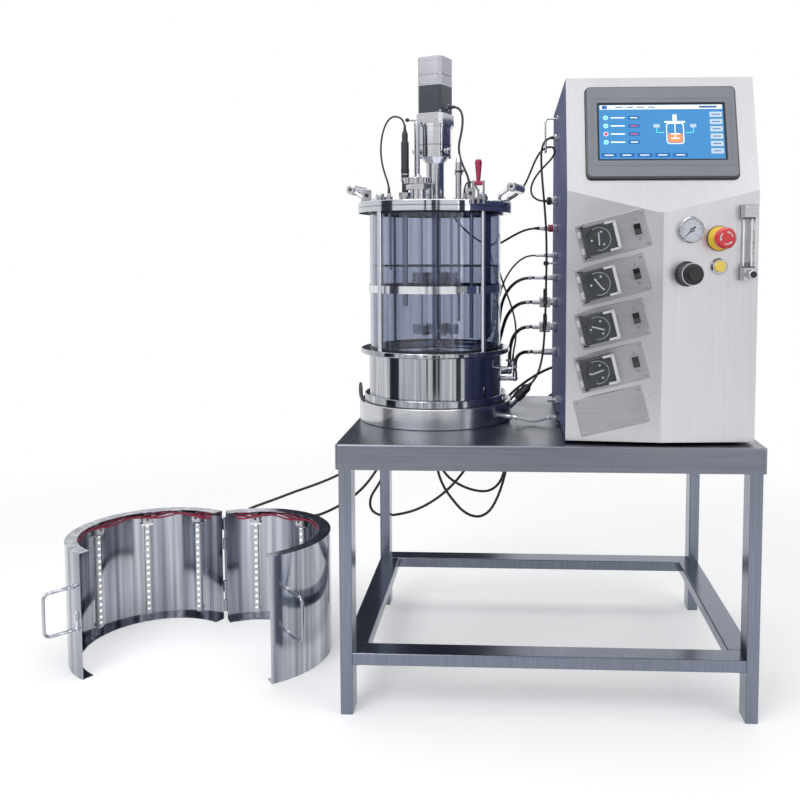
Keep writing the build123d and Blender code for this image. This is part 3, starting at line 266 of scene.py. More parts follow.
# Brushed or polished metal.
def metalFinish(name, dark, light, rough, stretch, depth, seed=0.0):
    material, tree, shader = blankMaterial(name)
    spot = addNode(tree, "ShaderNodeTexCoord")["Object"]
    grain = addMask(tree, grainGroup, spot, {"Stretch": stretch, "Seed": seed})
    mixColours(tree, shader, grain["Shade"], dark, light)
    mixRoughness(tree, shader, addMask(tree, smudgeGroup, spot, metalSmudge)["Mask"], rough)
    addBump(tree, shader, grain["Height"], depth)
    setInputs(tree, shader, {"Metallic": 1.0})
    return material


# Paint, moulded plastic or rubber with a pitted skin and slightly cloudy gloss.
def paintFinish(name, dark, light, rough, coat=0.0, pits=1400.0, depth=0.00003, metallic=0.0):
    material, tree, shader = blankMaterial(name)
    spot = addNode(tree, "ShaderNodeTexCoord")["Object"]
    mask = addMask(tree, smudgeGroup, spot, paintSmudge)["Mask"]
    mixColours(tree, shader, mask, dark, light)
    mixRoughness(tree, shader, mask, rough)
    addBump(tree, shader, addMask(tree, speckleGroup, spot, {"Scale": pits})["Height"], depth)
    setInputs(tree, shader, {"Metallic": metallic, "Coat Weight": coat})
    return material


# Clear or tinted glass with faint upright streaks in its tint and a cloudy polish.
def glassFinish(name, dark, light, rough, ior):
    material, tree, shader = blankMaterial(name)
    spot = addNode(tree, "ShaderNodeTexCoord")["Object"]
    mixColours(tree, shader, addMask(tree, grainGroup, spot, glassStreaks)["Shade"], dark, light)
    mixRoughness(tree, shader, addMask(tree, smudgeGroup, spot, glassSmudge)["Mask"], rough)
    setInputs(tree, shader, {"Transmission Weight": 1.0, "IOR": ior})
    return material


# Printed or lit shapes that carry their own colour in the mesh.
def tintFinish(name, rough, glow):
    material, tree, shader = blankMaterial(name)
    tint = addNode(tree, "ShaderNodeAttribute", attribute_name="tint")["Color"]
    setInputs(tree, shader, {"Base Color": tint, "Roughness": rough})
    if glow:
        setInputs(tree, shader, {"Emission Color": tint, "Emission Strength": glow})
    return material


# Brushing directions; the last two also stretch the painted reflection streaks on the polished vessel bottom
# and jacket.
alongX = (14.0, 900.0, 900.0)
alongZ = (900.0, 900.0, 14.0)
aroundZ = (12.0, 12.0, 1600.0)
bottomReflectionStreaksZ = (160.0, 160.0, 3.0)
jacketReflectionStreaksZ = (88.0, 88.0, 1.5)

# Darkest and lightest shade, roughness, brushing, depth of the lines in metres, seed.
metalSetups = {
    "topSteel": ((118, 122, 133), (131, 135, 145), (0.26, 0.34), alongX, 0.000002),
    "legSteel": ((116, 122, 136), (132, 138, 152), (0.18, 0.26), alongZ, 0.000002, 3.0),
    "ringSteel": ((190, 191, 196), (208, 209, 214), (0.18, 0.26), aroundZ, 0.000003, 5.0),
    "polishedSteel": ((184, 186, 194), (206, 208, 216), (0.06, 0.12), aroundZ, 0.000001),
    "turnedSteel": ((180, 181, 187), (200, 201, 207), (0.1, 0.17), aroundZ, 0.000001),
    "rodSteel": ((206, 208, 216), (226, 228, 234), (0.1, 0.16), alongZ, 0.000001),
    "innerSteel": ((158, 162, 174), (180, 184, 196), (0.15, 0.25), alongZ, 0.000002),
    # Shade swings from dark to light in upright streaks: painted reflection streaks of the mirror-polished
    # jacket.
    "jacketMirror": ((104, 110, 124), (208, 210, 217), (0.08, 0.14), jacketReflectionStreaksZ, 0.000001),
    # Shade swings from dark to light in upright streaks: painted reflection streaks of the polished vessel
    # bottom.
    "bottomSteel": ((132, 136, 144), (214, 215, 220), (0.06, 0.12), bottomReflectionStreaksZ, 0.000001, 9.0),
    "cabinetSilver": ((210, 209, 213), (217, 216, 220), (0.27, 0.33), alongZ, 0.000001),
    "plateGrey": ((166, 167, 172), (180, 181, 186), (0.3, 0.4), alongX, 0.000002, 7.0),
    "silverAlloy": ((196, 197, 203), (212, 213, 219), (0.24, 0.34), aroundZ, 0.000002),
    "capAlloy": ((158, 158, 167), (174, 174, 183), (0.3, 0.4), aroundZ, 0.000002),
}
# Darkest and lightest shade, roughness, coat, scale and depth of the pits, metallic.
paintSetups = {
    "cabinetBlue": ((76, 83, 124), (90, 97, 140), (0.42, 0.5), 0.0, 900.0, 0.00004),
    "panelGrey": ((74, 77, 85), (86, 89, 97), (0.34, 0.42)),
    "panelFace": ((132, 135, 144), (142, 145, 154), (0.34, 0.42)),
    "blackPlastic": ((26, 27, 30), (36, 37, 41), (0.32, 0.42)),
    "softBlack": ((34, 36, 42), (46, 48, 56), (0.4, 0.5)),
    "glossBlack": ((16, 16, 18), (24, 24, 27), (0.12, 0.2), 0.4),
    "whitePlastic": ((214, 215, 220), (228, 229, 233), (0.3, 0.38)),
    "crimson": ((158, 30, 66), (184, 44, 84), (0.24, 0.34), 0.3),
    "stopRed": ((212, 46, 52), (232, 64, 70), (0.26, 0.34), 0.3),
    "collarYellow": ((236, 196, 48), (248, 214, 70), (0.26, 0.36), 0.2),
    "lampYellow": ((244, 214, 84), (250, 226, 110), (0.16, 0.24), 0.4),
    "dialWhite": ((232, 232, 234), (242, 242, 243), (0.3, 0.38)),
    "motorBlack": ((52, 58, 68), (64, 70, 82), (0.34, 0.42), 0.0, 1400.0, 0.00003, 0.1),
    "rubber": ((20, 21, 24), (32, 33, 38), (0.42, 0.54), 0.0, 2200.0, 0.00002),
    "hoseRubber": ((24, 26, 32), (40, 42, 50), (0.3, 0.42), 0.0, 1800.0, 0.00002),
    "hoseClear": ((176, 180, 184), (198, 202, 206), (0.2, 0.3), 0.0, 900.0, 0.00002),
    "wireCrimson": ((150, 30, 62), (176, 44, 78), (0.3, 0.42), 0.0, 2000.0, 0.00002),
}
# Darkest and lightest tint, roughness, refraction.
glassSetups = {
    "vesselGlass": ((168, 174, 194), (212, 215, 225), (0.0, 0.04), 1.45),
    "cultureWater": ((241, 244, 245), (249, 250, 251), (0.0, 0.02), 1.33),
    "clearPlastic": ((236, 240, 246), (246, 248, 252), (0.02, 0.08), 1.45),
    "frostPlastic": ((236, 238, 241), (247, 248, 250), (0.24, 0.34), 1.45),
}
# Roughness, glow.
tintSetups = {"lightChip": (0.2, 1.0), "printed": (0.4, 0.0), "screenGlow": (0.16, 0.55)}

finishes = {}
for makeFinish, setups in (
    (metalFinish, metalSetups),
    (paintFinish, paintSetups),
    (glassFinish, glassSetups),
    (tintFinish, tintSetups),
):
    for name, setup in setups.items():
        finishes[name] = makeFinish(name, *setup)

pumpSteps = range(4)
finishNodes = {
    "topSteel": ["table_top"],
    "legSteel": ["stand_frame"],
    "ringSteel": ["vessel_base"],
    "bottomSteel": ["vessel_bottom"],
    "vesselGlass": ["glass_cylinder"],
    "rodSteel": ["glass_hoop", "tie_rods"],
    "polishedSteel": ["flange_ring", "lid"],
    "turnedSteel": [
        "lid_handles", "lid_ports", "stirrer_mount", "gauge_case", "flowmeter_frame", "side_fittings",
    ],
    "innerSteel": ["stirrer", "vessel_internals"],
    "softBlack": ["ph_probe", "pump_heads"],
    "crimson": ["toggle_lever"],
    "motorBlack": ["motor_body"],
    "capAlloy": ["motor_cap"],
    "cabinetBlue": ["cabinet_shell"],
    "cabinetSilver": ["cabinet_front"],
    "panelGrey": ["operator_panel"],
    "plateGrey": ["pump_plates"],
    "clearPlastic": [f"pump_cover_{step + 1}" for step in pumpSteps],
    "glossBlack": ["gauge_needle", "flowmeter_float"] + [f"pump_switch_{step + 1}" for step in pumpSteps],
    "collarYellow": ["button_collars"],
    "stopRed": ["estop_button"],
    "lampYellow": ["start_button"],
    "blackPlastic": [
        "regulator_body", "regulator_knob", "side_valve_supply", "side_valve_return",
        *(f"pump_rotor_{step + 1}" for step in pumpSteps),
    ],
    "frostPlastic": ["flowmeter_tube"],
    "silverAlloy": ["flowmeter_knob"],
    "jacketMirror": ["jacket_right", "jacket_left"],
    "whitePlastic": ["led_strips_right", "led_strips_left"],
}
for finish, names in finishNodes.items():
    for name in names:
        nodes[name].data.materials.clear()
        nodes[name].data.materials.append(finishes[finish])
print("stage: finishes")

# Cords, cables and hoses: diameter and real length in millimetres, then the route.
cordSetups = {
    "jacketCordA": {
        "node": "jacket_cord_a", "finish": "rubber", "diameter": 7.0, "length": 1932.0, "lay": "hanging",
        "boots": (24.0, 22.0),
        "route": [
            (-737.96, 175.91, 262), (-744.03, 197.06, 262), (-738, 221, 263), (-716, 240, 268),
            (-684, 255, 277), (-640, 270, 292), (-588, 288, 307), (-536, 302, 326), (-494, 318, 348),
            (-472, 331, 388), (-466, 337, 440), (-467, 337, 492), (-468, 333, 538), (-467, 317, 574),
            (-464, 284, 578), (-459, 252, 560), (-452, 226, 549), (-434, 207, 549), (-410, 207, 549),
            (-397, 229, 549), (-396, 257, 558), (-396, 288, 579), (-396, 320, 577), (-396, 336, 541),
            (-396, 338, 492), (-395, 338, 440), (-396, 338, 388), (-403, 338, 340), (-425, 338, 298),
            (-449, 338, 262), (-449, 338, 228), (-422, 338, 211), (-382, 338, 214), (-330, 338, 226),
            (-280, 338, 252), (-232, 338, 291), (-190, 338, 343), (-160, 340, 400), (-134, 341, 458),
            (-102, 341, 514), (-56, 340, 561), (-4, 338, 598), (40, 330, 620), (69, 312, 625),
            (80, 296, 625), (80, 279, 625),
        ],
    },
    "jacketCordB": {
        "node": "jacket_cord_b", "finish": "rubber", "diameter": 7.0, "length": 1658.0, "lay": "hanging",
        "boots": (24.0, 22.0),
        "route": [
            (-566.0, 148.7, 262), (-556.0, 163.5, 262), (-542, 182, 263), (-521, 207, 268),
            (-492, 238, 279), (-459, 280, 301), (-434, 322, 331), (-413, 346, 368), (-390, 352, 414),
            (-366, 352, 462), (-344, 350, 508), (-334, 342, 548), (-331, 321, 578), (-330, 289, 579),
            (-328, 258, 560), (-322, 232, 549), (-306, 211, 549), (-281, 208, 549), (-265, 226, 549),
            (-263, 253, 557), (-268, 284, 577), (-277, 316, 585), (-286, 343, 562), (-291, 353, 518),
            (-286, 354, 462), (-278, 353, 408), (-267, 352, 358), (-243, 352, 318), (-206, 352, 293),
            (-166, 352, 279), (-127, 352, 278), (-98, 352, 303), (-86, 352, 345), (-74, 353, 396),
            (-54, 354, 446), (-22, 354, 492), (22, 353, 532), (66, 350, 562), (104, 338, 580),
            (127, 316, 587), (132, 297, 588), (132, 279, 588),
        ],
    },
    "heaterCord": {
        "node": "heater_cord", "finish": "rubber", "diameter": 7.0, "length": 1091.0, "lay": "hanging",
        "boots": (22.0, 22.0),
        "route": [
            (-243, 183, 567), (-243, 203, 567), (-244, 226, 566), (-247, 254, 568), (-252, 286, 576),
            (-257, 316, 570), (-260, 327, 534), (-262, 325, 488), (-265, 324, 440), (-269, 324, 392),
            (-267, 324, 344), (-252, 324, 300), (-226, 324, 262), (-196, 324, 228), (-160, 324, 214),
            (-129, 324, 228), (-108, 324, 264), (-93, 324, 306), (-82, 324, 352), (-70, 325, 400),
            (-48, 326, 444), (-12, 327, 484), (36, 327, 514), (86, 326, 538), (134, 324, 554),
            (168, 315, 563), (184, 297, 566), (184, 279, 566),
        ],
    },
    "motorCable": {
        "node": "lid_cables", "finish": "rubber", "diameter": 5.0, "length": 222.0, "lay": "hanging",
        "boots": (12.0, 16.0),
        "route": [
            (-208.3, -15.5, 1237), (-194.6, -21.6, 1237), (-183, -28, 1227), (-179, -36, 1205),
            (-182, -47, 1176), (-188, -58, 1148), (-184, -70, 1120), (-173, -84, 1094),
            (-163, -98, 1072), (-163, -98, 1054),
        ],
    },
    "probeCable": {
        "node": "lid_cables", "finish": "rubber", "diameter": 4.0, "length": 225.0, "lay": "loose",
        "boots": (12.0, 14.0),
        "route": [
            (-304, -60, 1181), (-304, -60, 1194), (-311, -63, 1207), (-327, -70, 1211),
            (-341, -77, 1198), (-350, -83, 1171), (-353, -89, 1140), (-350, -94, 1109),
            (-342, -98, 1081), (-334, -100, 1060), (-334, -100, 1043),
        ],
    },
    "lidCable": {
        "node": "side_cables", "finish": "rubber", "diameter": 4.5, "length": 389.0, "lay": "hanging",
        "boots": (16.0, 9.0),
        "route": [
            (-116, 88, 1036), (-98, 88, 1036), (-76, 82, 1040), (-54, 72, 1055), (-39, 61, 1078),
            (-29, 53, 1102), (-20, 46, 1124), (-9, 38, 1144), (5, 32, 1154), (20, 37, 1156),
            (27, 52, 1148), (21, 67, 1134), (6, 74, 1119), (-10, 71, 1102), (-22, 66, 1084),
            (-29, 61, 1064), (-25, 55, 1046), (-12, 51, 1037), (-2, 50, 1035), (8, 50, 1035),
        ],
    },
    "baseCable": {
        "node": "side_cables", "finish": "rubber", "diameter": 5.0, "length": 583.0, "lay": "hanging",
        "boots": (9.0, 0.0), "farEnd": "plug",
        "route": [
            (23, 28, 1175), (13, 28, 1175), (1, 28, 1167), (-6, 27, 1148), (-6, 25, 1116),
            (-3, 21, 1073), (2, 17, 1020), (6, 15, 964), (7, 14, 904), (6, 13, 844), (5, 11, 786),
            (3, 8, 733), (-1, 2, 687), (-8, -6, 656), (-19, -12, 632), (-31.3, -12, 619.7),
        ],
    },
    "signalCable": {
        "node": "side_cables", "finish": "rubber", "diameter": 5.0, "length": 454.0, "lay": "hanging",
        "boots": (12.0, 16.0),
        "route": [
            (-8, 50, 973), (-22, 50, 973), (-42, 53, 969), (-64, 62, 959), (-86, 79, 946),
            (-106, 106, 936), (-124, 138, 936), (-148, 167, 947), (-178, 189, 968), (-208, 199, 998),
            (-231, 196, 1034), (-243, 179, 1068), (-243, 156, 1088), (-243, 132, 1088),
            (-243, 122, 1073), (-243, 122, 1057),
        ],
    },
    "crossingCable": {
        "node": "side_cables", "finish": "rubber", "diameter": 4.0, "length": 560.0, "lay": "loose",
        "boots": (12.0, 14.0),
        "route": [
            (-183, 112, 1057), (-183, 112, 1070), (-179, 121, 1083), (-167, 139, 1087),
            (-155, 158, 1074), (-147, 170, 1043), (-139, 172, 1002), (-129, 160, 962),
            (-118, 138, 928), (-108, 102, 897), (-98, 68, 868), (-88, 36, 838), (-74, 6, 803),
            (-62, -18, 762), (-62, -35, 722), (-68.3, -43.5, 697), (-68.3, -43.5, 678),
        ],
    },
    "thinTube": {
        "node": "process_hoses", "finish": "hoseRubber", "diameter": 4.0, "length": 375.0, "lay": "loose",
        "route": [
            (-17, 50, 911), (-30, 50, 911), (-48, 52, 904), (-68, 58, 886), (-85, 68, 860),
            (-97, 82, 829), (-103, 98, 796), (-106, 113, 764), (-111, 131, 734), (-124, 153, 712),
            (-146, 170, 702), (-170, 178, 704), (-191, 178, 701), (-199.5, 174.7, 687),
            (-199.5, 174.7, 671),
        ],
    },
    "upperHose": {
        "node": "process_hoses", "finish": "hoseRubber", "diameter": 7.0, "length": 277.0, "lay": "loose",
        "route": [
            (-19, 50, 860), (-40, 50, 860), (-64, 56, 849), (-84, 68, 826), (-96, 86, 793),
            (-99, 105, 760), (-105, 123, 733), (-120, 141, 713), (-138, 151, 702),
            (-147.6, 152.6, 687), (-147.6, 152.6, 671),
        ],
    },
    "supplyHose": {
        "node": "process_hoses", "finish": "hoseRubber", "diameter": 8.0, "length": 194.0, "lay": "loose",
        "route": [
            (-24, 50, 804), (-45, 50, 804), (-67, 58, 792), (-84, 72, 768), (-92, 90, 740),
            (-98, 106, 714), (-105.1, 115.7, 689), (-105.1, 115.7, 666),
        ],
    },
    "returnHose": {
        "node": "process_hoses", "finish": "hoseRubber", "diameter": 8.0, "length": 122.0, "lay": "loose",
        "route": [
            (-24, 50, 747), (-41, 50, 747), (-59, 55, 736), (-71, 61, 716), (-76.1, 67.4, 684),
            (-76.1, 67.4, 656),
        ],
    },
    "sideHose": {
        "node": "process_hoses", "finish": "hoseRubber", "diameter": 8.0, "length": 84.0, "lay": "loose",
        "route": [
            (-22, 50, 689), (-36, 50, 689), (-50, 39, 687), (-60, 25, 679), (-63.4, 12.6, 664),
            (-63.4, 12.6, 648),
        ],
    },
    "drainHose": {
        "node": "drain_hose", "finish": "hoseClear", "diameter": 9.0, "length": 96.0, "lay": "loose",
        "route": [
            (-71.47, -69.3, 559), (-56.17, -75.48, 559), (-38, -82, 554), (-18, -85, 553.5),
            (0, -82, 558), (10.5, -80, 560), (21, -80, 560),
        ],
    },
}

# How sharp an edge has to be before it shows as one, and before it is rounded, in degrees.
edgeSetup = {"sharpFrom": 32.0, "roundFrom": 35.0, "roundSteps": 2}


# Turns a bmesh in millimetres into a piece that rides on a body, with its edges rounded if asked.
def addPart(name, bm, finish, body="frame", rounding=0.0):
    mesh = bpy.data.meshes.new(name)
    bm.to_mesh(mesh)
    bm.free()
    mesh.transform(toMetres)
    mesh.update()
    mesh.polygons.foreach_set("use_smooth", [True] * len(mesh.polygons))
    mesh.set_sharp_from_angle(angle=math.radians(edgeSetup["sharpFrom"]))
    mesh.materials.clear()
    mesh.materials.append(finishes[finish])
    piece = addObject(name, mesh)
    if rounding:
        bevel = piece.modifiers.new("softEdge", "BEVEL")
        bevel.width = rounding / 1000
        bevel.segments = edgeSetup["roundSteps"]
        bevel.limit_method = "ANGLE"
        bevel.angle_limit = math.radians(edgeSetup["roundFrom"])
    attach(piece, body)
    return piece


# Outlines, all anticlockwise.
def circleOutline(radius, middle=(0.0, 0.0), sides=32):
    angles = [2 * math.pi * index / sides for index in range(sides)]
    return [(middle[0] + radius * math.cos(angle), middle[1] + radius * math.sin(angle)) for angle in angles]


def hexOutline(across):
    return circleOutline(across / 2 / math.cos(math.pi / 6), sides=6)


def roundedOutline(wide, high, corner, steps, middle=(0.0, 0.0)):
    points = []
    for signX, signY, start in ((1, 1, 0), (-1, 1, 90), (-1, -1, 180), (1, -1, 270)):
        x = middle[0] + signX * (wide / 2 - corner)
        y = middle[1] + signY * (high / 2 - corner)
        for step in range(steps + 1):
            angle = math.radians(start + 90 * step / steps)
            points.append((x + corner * math.cos(angle), y + corner * math.sin(angle)))
    return points


# A bent band between two radii, swept between two angles.
def arcOutline(inner, outer, start, end, steps):
    angles = [math.radians(start + (end - start) * step / steps) for step in range(steps + 1)]
    points = [(outer * math.cos(angle), outer * math.sin(angle)) for angle in angles]
    return points + [(inner * math.cos(angle), inner * math.sin(angle)) for angle in reversed(angles)]


def addRing(bm, outline, height, place):
    return [bm.verts.new(place @ Vector((x, y, height))) for x, y in outline]


# Faces from each ring to the next; a ring of one point is a pole.
def bridgeRings(bm, rings, closed=False):
    pairs = list(zip(rings, rings[1:])) + ([(rings[-1], rings[0])] if closed else [])
    faces = []
    for lower, upper in pairs:
        count = max(len(lower), len(upper))
        for index in range(count):
            after = (index + 1) % count
            corners = (lower[index % len(lower)], lower[after % len(lower)],
                       upper[after % len(upper)], upper[index % len(upper)])
            faces.append(bm.faces.new(list(dict.fromkeys(corners))))
    return faces


def capEnds(bm, rings):
    return [bm.faces.new(rings[0][::-1]), bm.faces.new(rings[-1])]


# A turned shape about Z from (radius, height) pairs, listed from the bottom up.
def addTurned(bm, profile, sides, place):
    rings = []
    for radius, height in profile:
        outline = circleOutline(radius, sides=sides) if radius else [(0.0, 0.0)]
        rings.append(addRing(bm, outline, height, place))
    bridgeRings(bm, rings, closed=len(rings[0]) > 1 and len(rings[-1]) > 1)


# A plain ring's profile and sides, for addTurned.
def ring(inner, outer, low, high, sides):
    return [(outer, low), (outer, high), (inner, high), (inner, low)], sides


# A piece of turned shapes on one place.
def addTurnedPart(name, shapes, place, finish, body="frame"):
    bm = bmesh.new()
    for shape in shapes:
        addTurned(bm, *shape, place)
    addPart(name, bm, finish, body)


# An upright prism, with a colour of its own where it has a tint.
def addPrism(bm, outline, low, high, place, tint=None):
    rings = [addRing(bm, outline, height, place) for height in (low, high)]
    faces = capEnds(bm, rings) + bridgeRings(bm, rings)
    if tint:
        layer = bm.loops.layers.float_color.get("tint") or bm.loops.layers.float_color.new("tint")
        for face in faces:
            for loop in face.loops:
                loop[layer] = linear(tint)


# A flat block: size is across, up, corner and the corner's steps, height is from and to.
def addBlock(bm, size, height, place, middle=(0.0, 0.0), tint=None):
    addPrism(bm, roundedOutline(*size, middle), *height, place, tint)


# A band between two outlines of as many points.
def addBand(bm, outer, inner, low, high, place):
    edges = ((outer, low), (outer, high), (inner, high), (inner, low))
    bridgeRings(bm, [addRing(bm, outline, height, place) for outline, height in edges], closed=True)


# A flat rectangular frame with rounded corners.
def addFrame(bm, outer, inner, corner, low, high, place, steps=6):
    innerCorner = max(corner - (outer[0] - inner[0]) / 2, 1.0)
    outlines = roundedOutline(*outer, corner, steps), roundedOutline(*inner, innerCorner, steps)
    addBand(bm, *outlines, low, high, place)


# A round wire swept along fairly level points, with closed ends.
def addTube(bm, points, radius, sides):
    points = [Vector(point) for point in points]
    rings = []
    side = (points[1] - points[0]).cross(Vector((0, 0, 1))).normalized()
    for index, point in enumerate(points):
        along = (points[min(index + 1, len(points) - 1)] - points[max(index - 1, 0)]).normalized()
        side = (side - along * side.dot(along)).normalized()
        other = along.cross(side)
        outline = circleOutline(radius, sides=sides)
        rings.append([bm.verts.new(point + side * x + other * y) for x, y in outline])
    bridgeRings(bm, rings)
    capEnds(bm, rings)


# Adds mesh data to a bmesh at a place and drops it.
def mergeMesh(bm, mesh, place):
    mesh.transform(place)
    bm.from_mesh(mesh)
    bpy.data.meshes.remove(mesh)


def evaluatedMesh(holder):
    return bpy.data.meshes.new_from_object(holder.evaluated_get(bpy.context.evaluated_depsgraph_get()))


# Plain lettering as closed mesh data, centred on its place.
lettering = {"thick": 0.12, "smoothness": 3}


def addText(bm, text, size, place):
    curve = bpy.data.curves.new("lettering", "FONT")
    curve.body = text
    curve.size = size
    curve.align_x = "CENTER"
    curve.align_y = "CENTER"
    curve.extrude = lettering["thick"] / 2
    curve.resolution_u = lettering["smoothness"]
    holder = addObject("lettering", curve)
    mesh = evaluatedMesh(holder)
    bpy.data.objects.remove(holder)
    bpy.data.curves.remove(curve)
    mergeMesh(bm, mesh, place @ shift(z=lettering["thick"] / 2))


# A place at each end of a cord, looking along it towards its middle.
def cordEnds(route):
    ends = ((route[0], route[1]), (route[-1], route[-2]))
    return [pointing(start, Vector(toward) - Vector(start)) for start, toward in ends]


# A ribbed, tapered strain relief. Its radii are shares of the cord's radius, and each rib's wave is
# given in shares of the radius and of the rib's length.
bootSetup = {
    "bore": 1.02, "foot": 1.75, "tip": 1.18, "ribs": 5, "wave": ((1.0, 0.25), (0.86, 0.5), (1.0, 0.75)),
    "sides": 24,
}


def addBoot(bm, place, length, cordRadius, setup):
    bore, foot, tip = (cordRadius * setup[key] for key in ("bore", "foot", "tip"))
    rib = length / setup["ribs"]
    profile = [(bore, 0.0), (foot, 0.0)]
    for index in range(setup["ribs"]):
        radius = foot + (tip - foot) * (index + 0.5) / setup["ribs"]
        for share, step in setup["wave"]:
            profile.append((radius * share, rib * (index + step)))
    addTurned(bm, profile + [(tip, length), (bore, length)], setup["sides"], place)


# The round plug on the vessel base's tilted power socket.
plugSetup = {
    "neck": [(0.0, -6.0), (3.5, -6.0), (4.5, 0.0), (7.92, 4.0), (9.9, 8.0)],
    "grip": [(9.9, 21.0), (11.0, 21.84), (11.0, 38.64), (10.34, 42.0), (0.0, 42.0)],
    "sides": 36,
    "ribs": 14,
    "rib": (2.0, 2.4, 0.6, 2),
    "ribAt": (10.5, 23.1),
    "ribLength": 14.28,
}


def makeBasePlug(setup):
    before, end = (Vector(point) for point in cordSetups["baseCable"]["route"][-2:])
    place = pointing(end, (end - before).normalized())
    bm = bmesh.new()
    addTurned(bm, setup["neck"] + setup["grip"], setup["sides"], place)
    out, rise = setup["ribAt"]
    for index in range(setup["ribs"]):
        around = place @ turn(360 * index / setup["ribs"]) @ shift(out, 0, rise)
        addBlock(bm, setup["rib"], (0.0, setup["ribLength"]), around)
    plug = addPart("basePlug", bm, "softBlack")
    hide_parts("side_cables")
    return plug


cordShape = {"order": 3, "smoothness": 8, "roundness": 5}


def makeCord(name, setup):
    data = bpy.data.curves.new(name, "CURVE")
    data.dimensions = "3D"
    spline = data.splines.new("NURBS")
    spline.points.add(len(setup["route"]) - 1)
    for point, place in zip(spline.points, setup["route"]):
        point.co = (*inMetres(*place), 1.0)
    spline.order_u = cordShape["order"]
    spline.use_endpoint_u = True
    data.resolution_u = cordShape["smoothness"]
    data.bevel_depth = setup["diameter"] / 2000
    data.bevel_resolution = cordShape["roundness"]
    data.use_fill_caps = True
    data.materials.append(finishes[setup["finish"]])
    cord = addObject(name, data)
    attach(cord, "frame")
    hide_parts(setup["node"])
    extras = []
    if "boots" in setup:
        bm = bmesh.new()
        for place, length in zip(cordEnds(setup["route"]), setup["boots"]):
            if length:
                addBoot(bm, place, length, setup["diameter"] / 2, bootSetup)
        extras.append(addPart(name + "Boots", bm, "softBlack"))
    return cord, extras


for name, setup in cordSetups.items():
    cord, extras = makeCord(name, setup)
    if setup.get("farEnd") == "plug":
        extras.append(makeBasePlug(plugSetup))
print("stage: cords")


# Geometry node trees for what repeats. Every tree takes a Finish and ends the same way.
def startTree(name, sizes):
    inputs = {"Geometry": ("Geometry", None), **sizes, "Finish": ("Material", None)}
    return startGroup(name, "GeometryNodeTree", inputs, {"Geometry": "Geometry"})


# Copies of a part on points, made real and given their finish.
def endTree(tree, given, points, part, rotation=None):
    values = {"Points": points, "Instance": part}
    if rotation:
        values["Rotation"] = rotation
    copies = addNode(tree, "GeometryNodeInstanceOnPoints", values)["Instances"]
    real = addNode(tree, "GeometryNodeRealizeInstances", {"Geometry": copies})["Geometry"]
    finished = addNode(tree, "GeometryNodeSetMaterial", {"Geometry": real, "Material": given["Finish"]})
    addNode(tree, "NodeGroupOutput", {"Geometry": finished["Geometry"]})


def vectorNode(tree, x=0.0, y=0.0, z=0.0):
    return addNode(tree, "ShaderNodeCombineXYZ", {0: x, 1: y, 2: z})[0]


# Sizes of a socket screw's head as shares of its height and radius.
screwShape = {"sides": 28, "body": 1.4, "foot": 0.999, "top": 0.86, "collar": 0.3, "collarAt": 0.7}


# A socket screw on every point of the base mesh, standing along the point's "outward" vector.
def makeScrewTree(shape):
    tree, given = startTree("socketScrews", {
        "Head Radius": ("Float", 2.5),
        "Head Height": ("Float", 1.4),
        "Socket Radius": ("Float", 1.2),
        "Sides": ("Int", 6),
    })
    radius, height = given["Head Radius"], given["Head Height"]
    head = addNode(tree, "GeometryNodeMeshCylinder", {
        "Vertices": shape["sides"],
        "Radius": radius,
        "Depth": mathNode(tree, "MULTIPLY", height, shape["body"]),
    })
    collar = addNode(tree, "GeometryNodeMeshCone", {
        "Vertices": shape["sides"],
        "Radius Bottom": mathNode(tree, "MULTIPLY", radius, shape["foot"]),
        "Radius Top": mathNode(tree, "MULTIPLY", radius, shape["top"]),
        "Depth": mathNode(tree, "MULTIPLY", height, shape["collar"]),
    })
    socket = addNode(tree, "GeometryNodeMeshCylinder", {
        "Vertices": given["Sides"],
        "Radius": given["Socket Radius"],
        "Depth": height,
    })
    rise = vectorNode(tree, z=mathNode(tree, "MULTIPLY", height, shape["collarAt"]))
    raised = addNode(tree, "GeometryNodeTransform", {"Geometry": collar["Mesh"], "Translation": rise})
    whole = tree.nodes.new("GeometryNodeMeshBoolean")
    whole.operation = "UNION"
    whole.solver = "EXACT"
    for part in (head["Mesh"], raised["Geometry"]):
        tree.links.new(part, whole.inputs["Mesh 2"])
    values = {"Geometry": socket["Mesh"], "Translation": vectorNode(tree, z=height)}
    hollow = addNode(tree, "GeometryNodeTransform", values)
    values = {"Mesh 1": whole.outputs["Mesh"], "Mesh 2": hollow["Geometry"]}
    cut = addNode(tree, "GeometryNodeMeshBoolean", values, operation="DIFFERENCE", solver="EXACT")
    outward = addNode(tree, "GeometryNodeInputNamedAttribute", {"Name": "outward"}, data_type="FLOAT_VECTOR")
    align = addNode(tree, "FunctionNodeAlignRotationToVector", {"Vector": outward["Attribute"]}, axis="Z")
    points = addNode(tree, "GeometryNodeMeshToPoints", {"Mesh": given["Geometry"]})
    endTree(tree, given, points["Points"], cut["Mesh"], align["Rotation"])
    return tree


